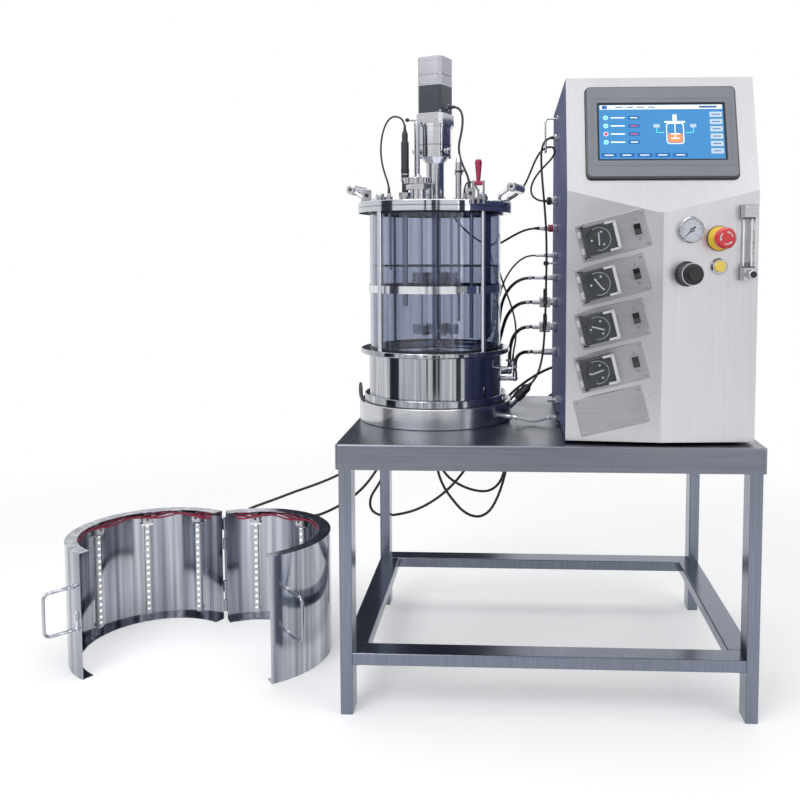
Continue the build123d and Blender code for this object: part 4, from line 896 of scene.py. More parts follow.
# Bars in a ring or arc, each turned to face outward: ribs, knurls, dial marks.
def makeArcTree():
    tree, given = startTree("barArc", {
        "Count": ("Int", 24),
        "Radius": ("Float", 10.0),
        "Bar": ("Vector", (1.0, 1.0, 1.0)),
        "First Angle": ("Float", 0.0),
        "Angle Step": ("Float", 0.26),
    })
    line = addNode(tree, "GeometryNodeMeshLine", {"Count": given["Count"]})
    swept = mathNode(tree, "MULTIPLY", addNode(tree, "GeometryNodeInputIndex")[0], given["Angle Step"])
    angle = mathNode(tree, "ADD", swept, given["First Angle"])
    across = mathNode(tree, "MULTIPLY", mathNode(tree, "COSINE", angle), given["Radius"])
    up = mathNode(tree, "MULTIPLY", mathNode(tree, "SINE", angle), given["Radius"])
    values = {"Geometry": line["Mesh"], "Position": vectorNode(tree, across, up)}
    placed = addNode(tree, "GeometryNodeSetPosition", values)
    bar = addNode(tree, "GeometryNodeMeshCube", {"Size": given["Bar"]})
    endTree(tree, given, placed["Geometry"], bar["Mesh"], vectorNode(tree, z=angle))
    return tree


# Bars in a straight row or a grid, such as scale marks.
def makeGridTree():
    tree, given = startTree("barGrid", {
        "Columns": ("Int", 1),
        "Rows": ("Int", 10),
        "Column Step": ("Float", 5.0),
        "Row Step": ("Float", 5.0),
        "Bar": ("Vector", (1.0, 1.0, 1.0)),
    })
    values = {"Vertices X": given["Columns"], "Vertices Y": given["Rows"]}
    for size, count, step in (("Size X", "Columns", "Column Step"), ("Size Y", "Rows", "Row Step")):
        gaps = mathNode(tree, "SUBTRACT", given[count], 1.0)
        values[size] = mathNode(tree, "MULTIPLY", gaps, given[step])
    grid = addNode(tree, "GeometryNodeMeshGrid", values)
    points = addNode(tree, "GeometryNodeMeshToPoints", {"Mesh": grid["Mesh"]})
    bar = addNode(tree, "GeometryNodeMeshCube", {"Size": given["Bar"]})
    endTree(tree, given, points["Points"], bar["Mesh"])
    return tree


screwTree = makeScrewTree(screwShape)
arcTree = makeArcTree()
gridTree = makeGridTree()


# Runs a tree, on a base mesh with a point at each of the points' places, and adds the result.
def addGrown(bm, tree, values, finish, place=home, points=()):
    base = bpy.data.meshes.new("growBase")
    if points:
        base.from_pydata([point.translation for point in points], [], [])
        outward = base.attributes.new("outward", "FLOAT_VECTOR", "POINT")
        for index, point in enumerate(points):
            outward.data[index].vector = point.to_3x3() @ Vector((0, 0, 1))
    holder = addObject("growHolder", base)
    modifier = holder.modifiers.new("grow", "NODES")
    modifier.node_group = tree
    values = {**values, "Finish": finishes[finish]}
    for item in tree.interface.items_tree:
        if item.item_type == "SOCKET" and item.in_out == "INPUT" and item.name in values:
            modifier[item.identifier] = values[item.name]
    mesh = evaluatedMesh(holder)
    holder.modifiers.remove(modifier)
    bpy.data.objects.remove(holder)
    bpy.data.meshes.remove(base)
    mergeMesh(bm, mesh, place)


def addScrews(name, screw, finish, points):
    bm = bmesh.new()
    addGrown(bm, screwTree, screw, finish, points=points)
    addPart(name, bm, finish)


# Places on the cabinet's faces.
cabinet = {
    "left": 33.0, "right": 397.0, "bottom": 551.0, "ridge": -293.0, "edge": -279.0, "back": 267.0,
    "slopeFoot": 484.0, "slope": 17.5,
}
cabinetMiddle = (cabinet["left"] + cabinet["right"]) / 2
halfWidth = (cabinet["right"] - cabinet["left"]) / 2
faceDrop = cabinet["edge"] - cabinet["ridge"]
faceMiddle = (cabinet["edge"] + cabinet["ridge"]) / 2
slopeTurn = math.radians(cabinet["slope"])
leftFace = facing((cabinet["left"] + halfWidth / 2, faceMiddle, cabinet["bottom"]),
                  (halfWidth, -faceDrop, 0), (-faceDrop, -halfWidth, 0))
rightFace = facing((cabinet["right"] - halfWidth / 2, faceMiddle, cabinet["bottom"]),
                   (halfWidth, faceDrop, 0), (faceDrop, -halfWidth, 0))
slopeFace = facing((cabinetMiddle, cabinet["edge"], cabinet["bottom"] + cabinet["slopeFoot"]),
                   (1, 0, 0), (0, -math.cos(slopeTurn), math.sin(slopeTurn)))

# Operator screen, in millimetres from its middle.
screenSetup = {
    "middle": 117.5,
    "pageFloor": 7.05,
    "layer": 0.06,
    "cornerSteps": 3,
    "tints": {
        "back": (54, 126, 182), "bar": (226, 232, 238), "field": (24, 92, 158), "button": (172, 190, 206),
        "line": (236, 244, 250), "lit": (90, 226, 232), "warm": (236, 140, 92), "alarm": (206, 74, 98),
    },
    # x, y, width, height, corner, tint, layer, then how many and their step across and up
    "patches": [
        (0, 0, 239, 113, 0.8, "back", 1, 1, 0, 0),
        (0, 51.5, 235, 9, 0.8, "bar", 2, 1, 0, 0),
        (-108.5, 51.5, 10, 7, 0.8, "field", 3, 1, 0, 0),
        (-80.5, 51.5, 14, 2.2, 0.4, "field", 3, 4, 21, 0),
        (90.5, 51.5, 34, 4, 0.8, "field", 3, 1, 0, 0),
        (105, 35.5, 24, 11, 1.4, "button", 2, 6, 0, -15.2),
        (105, 35.5, 15, 1.8, 0.4, "field", 3, 6, 0, -15.2),
        (-83.5, 29.5, 27, 2.4, 0.5, "line", 2, 4, 0, -17),
        (-52.5, 29.5, 22, 8, 0.8, "field", 2, 4, 0, -17),
        (-52.5, 29.5, 14, 2, 0.4, "line", 3, 2, 0, -51),
        (-52.5, 12.5, 14, 2, 0.4, "alarm", 3, 2, 0, -17),
        # a small drawing of a stirred vessel
        (26, -4, 34, 44, 6, "line", 2, 1, 0, 0),
        (26, -4, 30.5, 40.5, 5, "back", 3, 1, 0, 0),
        (26, -13, 27, 19, 4, "warm", 4, 1, 0, 0),
        (26, 20, 40, 3.6, 1, "line", 4, 1, 0, 0),
        (26, 29, 8, 13, 1, "line", 4, 1, 0, 0),
        (26, 3, 1.8, 32, 0.5, "line", 5, 1, 0, 0),
        (26, -14, 17, 2.2, 0.6, "line", 5, 2, 0, 9),
        (-1, -2, 12, 1.6, 0.5, "lit", 2, 2, 54, 0),
        (-9, 3, 1.6, 11.6, 0.5, "lit", 2, 2, 70, 0),
        (-9, 12, 12, 7, 1.2, "button", 2, 2, 70, 0),
        # the row of fields at the foot
        (-101.5, -48.5, 29, 8.5, 1.2, "field", 2, 5, 34, 0),
        (-101.5, -48.5, 17, 1.8, 0.4, "line", 3, 5, 34, 0),
    ],
    # x, y, radius, tint, layer
    "dots": [
        (-106.5, y, radius, tint, layer)
        for y, lamp in ((29.5, "lit"), (12.5, "lit"), (-4.5, "alarm"), (-21.5, "lit"))
        for radius, tint, layer in ((4.6, "line", 2), (3.6, lamp, 3))
    ],
    # outer and inner size, corner, from and to
    "gasket": [
        ((245.0, 119.0), (239.4, 113.4), 2.5, 7.02, 7.5),
        ((293.0, 194.0), (282.0, 183.0), 11.0, 0.05, 1.7),
    ],
    "face": [
        ((284.0, 185.0), (247.0, 121.0), 8.0, 9.03, 9.5),
        ((267.0, 141.0), (263.0, 137.0), 4.0, 9.52, 10.0),
    ],
    "faceRounding": 0.2,
}


def makeScreen(setup):
    place = slopeFace @ shift(0, setup["middle"])
    bm = bmesh.new()

    def addShape(outline, layer, tint):
        low = setup["pageFloor"] + setup["layer"] * (layer - 1)
        addPrism(bm, outline, low, low + setup["layer"], place, setup["tints"][tint])

    for x, y, wide, high, corner, tint, layer, count, stepX, stepY in setup["patches"]:
        for index in range(count):
            middle = (x + stepX * index, y + stepY * index)
            addShape(roundedOutline(wide, high, corner, setup["cornerSteps"], middle), layer, tint)
    for x, y, radius, tint, layer in setup["dots"]:
        addShape(circleOutline(radius, (x, y)), layer, tint)
    addPart("screenImage", bm, "screenGlow")
    for name, frames, finish, rounding in (
        ("screenGasket", setup["gasket"], "blackPlastic", 0.0),
        ("screenFace", setup["face"], "panelFace", setup["faceRounding"]),
    ):
        bm = bmesh.new()
        for sizes in frames:
            addFrame(bm, *sizes, place)
        addPart(name, bm, finish, rounding=rounding)


makeScreen(screenSetup)
print("stage: screen")

# Pumps: tilted plates in a row, all but the last with a pump head. Places are across and up.
pumpSetup = {
    "first": (-3.5, 398.0),
    "step": 84.5,
    "tilt": 14.5,
    "plates": 5,
    "head": -28.0,
    "screwsAt": (61.0, 30.0),
    "screw": {"Head Radius": 2.7, "Head Height": 1.2, "Socket Radius": 1.3, "Sides": 6},
    "face": 3.0,
    "clamp": {
        "at": (-62.0, 16.0), "foot": (7.0, 12.0, 1.6, 4), "footHeight": (3.05, 20.2),
        "cap": (3.5, 6.6, 0.8, 3), "capHeight": (20.2, 21.2), "rounding": 0.5,
    },
    "tube": {"radii": (21.15, 22.4), "sweep": (-112, 112, 28), "height": (9.1, 22.4)},
    "marks": {
        "at": 47.0, "up": 18.5, "on": (1.0, 4.4, 0.4, 2), "height": (3.05, 3.17), "tint": (30, 31, 34),
        "off": ring(1.6, 2.3, 3.05, 3.17, 24),
    },
    "latch": {
        "bar": (6.0, 56.0, 2.2, 4), "barAt": (6.5, 0.0), "barHeight": (15.1, 29.6),
        "tab": (21.0, 4.4, 1.5, 3), "tabAt": (-2.0, 25.8), "tabHeight": (23.4, 29.6), "rounding": 0.6,
    },
    "rotor": {
        # Its bar is a silver strip across the rotor top: a painted highlight of the slot's edges.
        "rise": 21.3, "bar": (25.0, 2.6, 1.2, 3), "barHeight": (0.02, 0.9), "highlightBarTurn": (80.0, 36.0),
        "rollers": 3, "cap": ([(0, 0.02), (2.2, 0.02), (2.0, 0.7), (0, 0.8)], 20), "capTurn": 60.0,
        "capAt": 14.0,
    },
}


def pumpPlace(step):
    x, y = pumpSetup["first"]
    return leftFace @ shift(x, y - pumpSetup["step"] * step) @ turn(pumpSetup["tilt"])


def makePlateTrim(setup):
    x, y = setup["screwsAt"]
    corners = [(across, up) for across in (-x, x) for up in (-y, y)]
    plates = [pumpPlace(step) for step in range(setup["plates"])]
    points = [plate @ shift(*corner, setup["face"]) for plate in plates for corner in corners]
    addScrews("pumpPlateScrews", setup["screw"], "turnedSteel", points)
    white, onMarks, offMarks = bmesh.new(), bmesh.new(), bmesh.new()
    clamp, marks, tube = setup["clamp"], setup["marks"], setup["tube"]
    for step in pumpSteps:
        place = pumpPlace(step)
        for side in (-1, 1):
            middle = (clamp["at"][0], side * clamp["at"][1])
            addBlock(white, clamp["foot"], clamp["footHeight"], place, middle)
            addBlock(white, clamp["cap"], clamp["capHeight"], place, middle)
        # the pump tube that shows round the rotor's closed side
        outline = arcOutline(*tube["radii"], *tube["sweep"])
        addPrism(white, outline, *tube["height"], place @ shift(setup["head"]))
        addBlock(onMarks, marks["on"], marks["height"], place, (marks["at"], marks["up"]), marks["tint"])
        addTurned(offMarks, *marks["off"], place @ shift(marks["at"], -marks["up"]))
    addPart("pumpTubeClamps", white, "whitePlastic", rounding=clamp["rounding"])
    addPart("pumpOnMarks", onMarks, "printed")
    addPart("pumpRingMarks", offMarks, "blackPlastic")


# The white latch on a cover, and on a rotor the roller caps and a light bar that is a painted highlight of
# the slot's edges.
def makePumpTrim(step, latch, rotor):
    place = pumpPlace(step)
    cover, roller = f"pump_cover_{step + 1}", f"pump_rotor_{step + 1}"
    bm = bmesh.new()
    addBlock(bm, latch["bar"], latch["barHeight"], place, latch["barAt"])
    x, y = latch["tabAt"]
    for side in (-1, 1):
        addBlock(bm, latch["tab"], latch["tabHeight"], place, (x, side * y))
    addPart(f"pumpLatch{step + 1}", bm, "whitePlastic", cover, latch["rounding"])
    bm = bmesh.new()
    rim = place @ shift(pumpSetup["head"], 0, rotor["rise"])
    # The silver bar is a painted highlight of the rotor slot's edges.
    first, more = rotor["highlightBarTurn"]
    addBlock(bm, rotor["bar"], rotor["barHeight"], rim @ turn(first + more * step))
    for index in range(rotor["rollers"]):
        spot = rim @ turn(rotor["capTurn"] + 360 / rotor["rollers"] * index) @ shift(rotor["capAt"])
        addTurned(bm, *rotor["cap"], spot)
    addPart(f"pumpRotorTrim{step + 1}", bm, "silverAlloy", roller)


makePlateTrim(pumpSetup)
for step in pumpSteps:
    makePumpTrim(step, pumpSetup["latch"], pumpSetup["rotor"])
print("stage: pumps")


# Pressure gauge: dial, marks, numbers and glass.
gaugeSetup = {
    "spot": (-40.0, 408.0),
    "dial": ring(2.1, 21.9, 10.04, 10.22, 64),
    "firstAngle": 225.0,
    "sweep": 270.0,
    "steps": 50,
    # every so many steps: radius and bar
    "bars": {1: (18.9, (1.6, 0.28, 0.1)), 5: (18.3, (2.8, 0.5, 0.14))},
    "marksRise": 10.27,
    "numbers": ["0", "2", "4", "6", "8", "10"],
    "numberSize": 3.4,
    "numberAt": (14.4, 10.22),
    "glass": ([(0, 12.75), (21.8, 12.75), (21.8, 13.3), (21.3, 13.5), (0, 13.5)], 64),
}


def makeGauge(setup):
    place = rightFace @ shift(*setup["spot"])
    addTurnedPart("gaugeDial", [setup["dial"]], place, "dialWhite")
    bm = bmesh.new()
    values = {"First Angle": math.radians(setup["firstAngle"] - setup["sweep"])}
    for every, (radius, bar) in setup["bars"].items():
        gap = math.radians(setup["sweep"]) / setup["steps"] * every
        values.update({"Count": setup["steps"] // every + 1, "Radius": radius, "Bar": bar, "Angle Step": gap})
        addGrown(bm, arcTree, values, "blackPlastic", place @ shift(z=setup["marksRise"]))
    out, rise = setup["numberAt"]
    for index, number in enumerate(setup["numbers"]):
        angle = math.radians(setup["firstAngle"] - setup["sweep"] * index / (len(setup["numbers"]) - 1))
        spot = place @ shift(out * math.cos(angle), out * math.sin(angle), rise)
        addText(bm, number, setup["numberSize"], spot)
    addPart("gaugeMarks", bm, "blackPlastic")
    addTurnedPart("gaugeGlass", [setup["glass"]], place, "clearPlastic")


# Stop button's turning arrows and seal, the lamp button's chrome ring and the regulator's knob.
buttonSetup = {
    "stopSpot": (15.0, 392.0),
    "arrow": {
        "count": 3, "firstTurn": 10, "sweep": 58, "steps": 8, "band": (10.2, 12.2), "height": (44.3, 45.62),
        "tip": [(8.6, 0.0), (13.8, 0.0), (11.2, 4.6)],
    },
    "stopSeal": ring(23.1, 24.2, 0.05, 1.5, 64),
    "lampSpot": (15.0, 339.0),
    "lampRing": ([
        (15.1, 0.08), (15.9, 0.08), (15.9, 3.9), (13.3, 7.5),
        (11.4, 7.5), (11.4, 7.1), (13.05, 7.1), (15.1, 4.1),
    ], 56),
    "knobTop": (-46.0, 325.0, 56.3),
    "knobCap": ([
        (0, 0.04), (10.6, 0.04), (10.6, 0.9), (9.4, 1.2), (9.0, 0.5), (3.2, 0.5), (2.6, 1.0), (0, 1.0),
    ], 48),
    "knobSeam": ring(12.05, 12.9, -7.6, -5.8, 64),
    "knobBand": ring(18.6, 21.35, -13.2, -12.4, 64),
    "ribs": {
        "Count": 18, "Radius": 20.9, "Bar": (1.5, 2.6, 24.0), "First Angle": math.pi / 18,
        "Angle Step": math.pi / 9,
    },
    "ribsDrop": 30.0,
    "knobRounding": 0.3,
}


def makeButtons(setup):
    place, arrow = rightFace @ shift(*setup["stopSpot"]), setup["arrow"]
    bm = bmesh.new()
    for index in range(arrow["count"]):
        around = place @ turn(360 / arrow["count"] * index + arrow["firstTurn"])
        addPrism(bm, arcOutline(*arrow["band"], 0, arrow["sweep"], arrow["steps"]), *arrow["height"], around)
        addPrism(bm, arrow["tip"], *arrow["height"], around @ turn(arrow["sweep"]))
    addPart("stopArrows", bm, "whitePlastic", "estop_button")
    addTurnedPart("stopSeal", [setup["stopSeal"]], place, "blackPlastic")
    place = rightFace @ shift(*setup["lampSpot"])
    addTurnedPart("lampRing", [setup["lampRing"]], place, "polishedSteel")
    place = rightFace @ shift(*setup["knobTop"])
    bm = bmesh.new()
    for shape in ("knobCap", "knobSeam"):
        addTurned(bm, *setup[shape], place)
    addGrown(bm, arcTree, setup["ribs"], "blackPlastic", place @ shift(z=-setup["ribsDrop"]))
    addPart("regulatorTrim", bm, "blackPlastic", "regulator_knob", setup["knobRounding"])
    band = [setup["knobBand"]]
    addTurnedPart("regulatorBand", band, place, "silverAlloy", "regulator_knob")


# Flow meter: white back strip, printed scale, end seals and the knob's cap.
flowSetup = {
    "spot": (67.0, 312.0),
    "middle": 72.0,
    "back": (17.0, 92.0, 1.0, 3),
    "backHeight": (3.05, 4.6),
    "steps": 20,
    "step": 4.0,
    # every so many steps: bar
    "bars": {1: (3.2, 0.45, 0.12), 5: (5.2, 0.45, 0.12)},
    "barsAt": (-7.6, 25.08),
    "numbers": ["2", "4", "6", "8", "10"],
    "numberSize": 4.0,
    "numberAt": (4.6, 25.02),
    "numberSteps": 5,
    "sealsAt": (25.1, 116.9),
    "sealDepth": 15.0,
    "seal": ((19.4, 21.4), (18.1, 20.1), 3.4, 0.0, 2.0),
    "screwsAt": [(-8.0, 7.0, 28.0), (8.0, 7.0, 28.0), (-8.0, 137.0, 28.0), (8.0, 137.0, 28.0)],
    "screw": {"Head Radius": 2.2, "Head Height": 1.0, "Socket Radius": 1.0, "Sides": 6},
    "capAt": (0.0, 12.5, 44.55),
    "cap": ([(0, 0.02), (6.4, 0.02), (6.1, 0.4), (2.4, 0.4), (2.0, 0.15), (0, 0.15)], 36),
}


def makeFlowMeter(setup):
    place = rightFace @ shift(*setup["spot"])
    middle = setup["middle"]
    bm = bmesh.new()
    addBlock(bm, setup["back"], setup["backHeight"], place, (0, middle))
    addPart("flowBack", bm, "whitePlastic")
    bm = bmesh.new()
    x, rise = setup["barsAt"]
    for every, bar in setup["bars"].items():
        values = {"Rows": setup["steps"] // every + 1, "Row Step": setup["step"] * every, "Bar": bar}
        addGrown(bm, gridTree, values, "blackPlastic", place @ shift(x + bar[0] / 2, middle, rise))
    x, rise = setup["numberAt"]
    centre = (len(setup["numbers"]) - 1) / 2
    for index, number in enumerate(setup["numbers"]):
        y = middle + (index - centre) * setup["step"] * setup["numberSteps"]
        addText(bm, number, setup["numberSize"], place @ shift(x, y, rise))
    addPart("flowScale", bm, "blackPlastic")
    bm = bmesh.new()
    for y in setup["sealsAt"]:
        addFrame(bm, *setup["seal"], place @ shift(0, y, setup["sealDepth"]) @ turn(-90, "X"))
    addPart("flowSeals", bm, "blackPlastic")
    points = [place @ shift(*spot) for spot in setup["screwsAt"]]
    addScrews("flowScrews", setup["screw"], "silverAlloy", points)
    place = place @ shift(*setup["capAt"])
    addTurnedPart("flowKnobCap", [setup["cap"]], place, "blackPlastic", "flowmeter_knob")


# Vessel: its seals, the water and a black ring at its edge, which is the painted dark line of the meniscus,
# and the hoop's clasp.
vesselSetup = {
    "axis": (-243.0, 0.0),
    "lidTop": 1027.0,
    "seals": [
        ring(167.1, 169.8, 1015.08, 1015.92, 120),
        ring(146.1, 148.6, 706.05, 709.4, 120),
        ring(146.1, 148.6, 1000.6, 1003.95, 120),
        ring(160.1, 161.2, 589.05, 590.0, 120),
    ],
    "waterLevel": 888.0,
    # down from the level
    "water": [ring(140.0, 140.6, -181.0, 0.0, 96), ring(8.8, 139.9, -1.2, -0.6, 96)],
    # a black ring where the water meets the glass: painted shade of the meniscus line
    "paintedWaterline": [([(139.1, -0.4), (139.8, -0.5), (139.9, 1.6)], 96)],
    "claspTurn": -62,
    "claspAt": (148.4, 0.0, 838.0),
    "claspEar": (5.0, 4.0, 0.8, 3),
    "claspEarAt": (2.5, 5.0),
    "claspHeight": (-8.0, 8.0),
    "claspScrewAt": 3.2,
    "claspScrew": ([(0, -9.0), (1.5, -9.0), (1.5, 7.0), (3.0, 7.0), (3.0, 9.5), (0, 9.5)], 20),
}
vesselAxis = shift(*vesselSetup["axis"])


def makeVesselTrim(setup):
    addTurnedPart("vesselSeals", setup["seals"], vesselAxis, "rubber")
    level = vesselAxis @ shift(z=setup["waterLevel"])
    addTurnedPart("cultureWater", setup["water"], level, "cultureWater")
    # Black ring at the waterline: painted dark line of the meniscus.
    addTurnedPart("paintedWaterline", setup["paintedWaterline"], level, "softBlack")
    bm = bmesh.new()
    clasp = vesselAxis @ turn(setup["claspTurn"]) @ shift(*setup["claspAt"])
    x, y = setup["claspEarAt"]
    for side in (-1, 1):
        addBlock(bm, setup["claspEar"], setup["claspHeight"], clasp, (x, side * y))
    addTurned(bm, *setup["claspScrew"], clasp @ shift(setup["claspScrewAt"]) @ turn(90, "X"))
    addPart("hoopClasp", bm, "turnedSteel")


# Lid: turned steel and dark trim, each as (profile, sides) on a fitting's place on the lid.
lidSetup = {
    "fittings": {
        "leftSocket": {"at": shift(-147.0, -46.7, 15.0) @ turn(90, "X"), "dark": "socketFloor"},
        "rightSocket": {"at": shift(84.0, -106.7, 15.0) @ turn(90, "X"), "dark": "socketFloor"},
        "probe": {"at": shift(-61.0, -60.0), "steel": "probeSleeves", "dark": "probeSeal"},
        "sample": {"at": shift(57.0, -90.0), "steel": "sampleNuts", "dark": "sampleSeal"},
        "spout": {"at": shift(57.0, -90.0, 62.0) @ turn(-60) @ turn(90, "Y") @ shift(z=6.4), "dark": "spout"},
        "union": {"at": shift(-28.0, -100.0), "steel": "unionStem", "dark": "unionSeal"},
    },
    "shapes": {
        "socketFloor": [([(0, 0.02), (4.3, 0.02), (4.3, 0.5), (0, 0.5)], 28)],
        "probeSleeves": [ring(7.1, 9.6, 45.0, 51.8, 36), ring(8.6, 9.3, 58.0, 60.5, 36)],
        "probeSeal": [ring(8.6, 9.1, 64.0, 70.0, 36)],
        "sampleNuts": [ring(6.6, 8.6, 56.0, 60.0, 32), ring(6.6, 8.0, 64.2, 67.0, 32)],
        "sampleSeal": [ring(6.6, 7.3, 60.2, 64.0, 32)],
        "spout": [([(0, 0), (1.6, 0), (1.6, 8), (3.2, 8.4), (3.2, 12), (0, 12.6)], 20)],
        "unionStem": [
            ([(0, 48.03), (9.0, 48.03), (8.6, 51.0), (5.4, 51.4), (5.0, 56.0), (0, 56.4)], 36),
        ],
        "unionSeal": [ring(24.0, 26.4, 48.03, 48.5, 56)],
        "gripSteel": [
            ([(4.6, 0.03), (8.4, 0.03), (8.0, 0.8), (5.0, 0.8)], 32),
            ring(9.9, 10.85, -6.4, -5.5, 40),
            ring(9.9, 10.85, -9.4, -8.5, 40),
        ],
        "gripScrew": [([(0, 0.03), (3.6, 0.03), (3.2, 0.5), (0, 0.5)], 24)],
        "gripFoot": [([(3.6, 0.03), (7.5, 0.03), (7.5, 1.6), (6.6, 2.4), (3.6, 2.4)], 32)],
        "leverEnd": [([(0, 61.0), (2.4, 61.2), (4.0, 63.2), (4.4, 66.0), (3.4, 69.0), (0, 70.2)], 24)],
        "thumbDome": [([(0, 48.02), (6.3, 48.02), (5.6, 50.4), (3.2, 52.2), (0, 52.9)], 32)],
        "driveCollar": [ring(36.05, 36.5, 26.0, 27.2, 64)],
    },
    "handleTurns": (-13.0, 167.0),
    "gripAt": (185.0, 0.0, 31.0),
    "gripHalf": 47.5,
    "footAt": (158.0, 40.5),
    "leverRise": 1208.0,
    "leverTurn": 205,
    "driveFoot": 1128.0,
    "thumbRise": 12.0,
    "thumbTurns": (198, 310),
    "knurl": {"Count": 20, "Radius": 6.5, "Bar": (0.7, 0.9, 5.0), "Angle Step": math.pi / 10},
    "knurlAt": 45.0,
}


def makeLidTrim(setup):
    lid = vesselAxis @ shift(z=vesselSetup["lidTop"])
    steel, dark = bmesh.new(), bmesh.new()

    def addShapes(bm, name, place):
        for shape in setup["shapes"][name]:
            addTurned(bm, *shape, place)

    for fitting in setup["fittings"].values():
        for bm, kind in ((steel, "steel"), (dark, "dark")):
            if kind in fitting:
                addShapes(bm, fitting[kind], lid @ fitting["at"])
    x, y = setup["footAt"]
    for angle in setup["handleTurns"]:
        for side in (-1, 1):
            grip = lid @ turn(angle) @ shift(*setup["gripAt"]) @ turn(-90 * side, "X")
            addShapes(steel, "gripSteel", grip @ shift(z=setup["gripHalf"]))
            addShapes(dark, "gripScrew", grip @ shift(z=setup["gripHalf"]))
            addShapes(steel, "gripFoot", lid @ turn(angle) @ shift(x, side * y))
    lever = vesselAxis @ shift(z=setup["leverRise"]) @ turn(setup["leverTurn"]) @ turn(90, "Y")
    addShapes(dark, "leverEnd", lever)
    drive = vesselAxis @ shift(z=setup["driveFoot"])
    for angle in setup["thumbTurns"]:
        thumb = drive @ shift(z=setup["thumbRise"]) @ turn(angle) @ turn(90, "Y")
        addShapes(steel, "thumbDome", thumb)
        addGrown(steel, arcTree, setup["knurl"], "turnedSteel", thumb @ shift(z=setup["knurlAt"]))
    addShapes(dark, "driveCollar", drive)
    addPart("lidSteelTrim", steel, "turnedSteel")
    addPart("lidDarkTrim", dark, "blackPlastic")


# Motor: flange screws, corner screws, bands round the body and the cable gland's nut.
motorSetup = {
    "turn": -24.0,
    "flangeScrewAt": (33.0, 19.0, 1210.5),
    "flangeScrew": {"Head Radius": 3.2, "Head Height": 1.5, "Socket Radius": 1.6, "Sides": 6},
    "cornerOut": 37.6,
    "cornerHeights": (1307.2, 1227.0),
    "cornerScrew": {"Head Radius": 2.0, "Head Height": 1.0, "Socket Radius": 0.9, "Sides": 6},
    "band": [
        (30.3, -23), (30.3, 23), (23, 30.3), (-23, 30.3),
        (-30.3, 23), (-30.3, -23), (-23, -30.3), (23, -30.3),
    ],
    "bandInner": 0.985,
    "bandHeights": [(1222.6, 1224.0), (1284.0, 1285.4)],
    "gland": 1237.0,
    "nut": 13.0,
    "nutHeight": (30.05, 34.0),
}


def makeMotorTrim(setup):
    axis = vesselAxis @ turn(setup["turn"])
    out, half, height = setup["flangeScrewAt"]
    flange, corners = [], []
    for quarter in range(4):
        face = axis @ turn(90 * quarter)
        flange += [face @ shift(out, side * half, height) @ turn(90, "Y") for side in (-1, 1)]
        for rise in setup["cornerHeights"]:
            corners.append(face @ turn(45) @ shift(setup["cornerOut"], 0, rise) @ turn(90, "Y"))
    addScrews("flangeScrews", setup["flangeScrew"], "turnedSteel", flange)
    addScrews("motorScrews", setup["cornerScrew"], "turnedSteel", corners)
    bm = bmesh.new()
    inner = [(x * setup["bandInner"], y * setup["bandInner"]) for x, y in setup["band"]]
    for heights in setup["bandHeights"]:
        addBand(bm, setup["band"], inner, *heights, axis)
    gland = axis @ shift(z=setup["gland"]) @ turn(90, "Y")
    addPrism(bm, hexOutline(setup["nut"]), *setup["nutHeight"], gland)
    addPart("motorBands", bm, "silverAlloy")


makeGauge(gaugeSetup)
makeButtons(buttonSetup)
makeFlowMeter(flowSetup)
makeVesselTrim(vesselSetup)
makeLidTrim(lidSetup)
makeMotorTrim(motorSetup)
print("stage: gauge, buttons, vessel and lid trim")

# Light jacket: lamp chips, clips, crimson wires, latch, handle sleeves and pin cap.
jacketSetup = {
    "hinge": (-785.0, 150.0),
    "reach": 201.0,
    "radius": 194.0,
    "leaves": {
        "Right": {"angle": -58.9, "side": 1, "body": "frame", "handle": -47.0},
        "Left": {"angle": -121.2, "side": -1, "body": "jacket_left", "handle": 229.0},
    },
    "strips": (22.0, 60.0, 98.0, 136.0),
    "stripFace": 186.2,
    "chips": {
        "count": 15, "first": 24.1, "step": 15.2, "size": (5.2, 5.2, 1.4, 3), "height": (0.05, 0.9),
        "tint": (255, 253, 248),
    },
    # size, height and how far up the strip
    "whiteClips": [((17, 21, 2.5, 4), (0.1, 7.5), 253.0), ((9, 13, 2.0, 4), (0.1, 2.6), 19.5)],
    "steelClips": [((6, 27, 2.0, 4), (0.1, 2.4), 241.0)],
    "clipRounding": 0.4,
    "clipScrew": ([(0, 0.02), (1.9, 0.02), (1.6, 0.9), (0, 1.1)], 16),
    "clipScrewAt": (241.0, 10.5, 2.4),
    "plug": ([(0, 7.52), (2.6, 7.52), (2.6, 8.6), (0, 8.6)], 20),
    "plugAt": 254.0,
    "wires": {
        "strands": 3, "points": 64, "from": 7.0, "sweep": 146.0, "thick": 2.2, "sides": 8, "radius": 182.0,
        "height": 266.0, "stepIn": 2.6, "stepDown": 2.2, "swayIn": 0.9, "swayUp": 4.2, "waves": 9.5,
        "shift": 70.0,
    },
    "handleHeights": (102.5, 197.5),
    "handleSleeves": [ring(3.6, 6.2, 0.15, 1.6, 32), ring(3.6, 4.7, 1.6, 11.0, 32)],
    "latchTurn": 355.5,
    "latchHeight": 128.0,
    "latchPlate": ((46, 9, 2.0, 4), (0.1, 2.2)),
    "latchGrip": ((16, 5, 1.6, 3), (2.2, 6.0)),
    "latchGripAt": -8.0,
    "latchScrew": ([(0, 2.2), (2.2, 2.2), (1.8, 3.1), (0, 3.3)], 16),
    "latchScrewsAt": (-19.0, 19.0),
    "pinTop": 260.0,
    "pinCap": ([(0, 0.02), (4.0, 0.02), (3.8, 1.4), (2.4, 2.6), (0, 3.0)], 28),
}


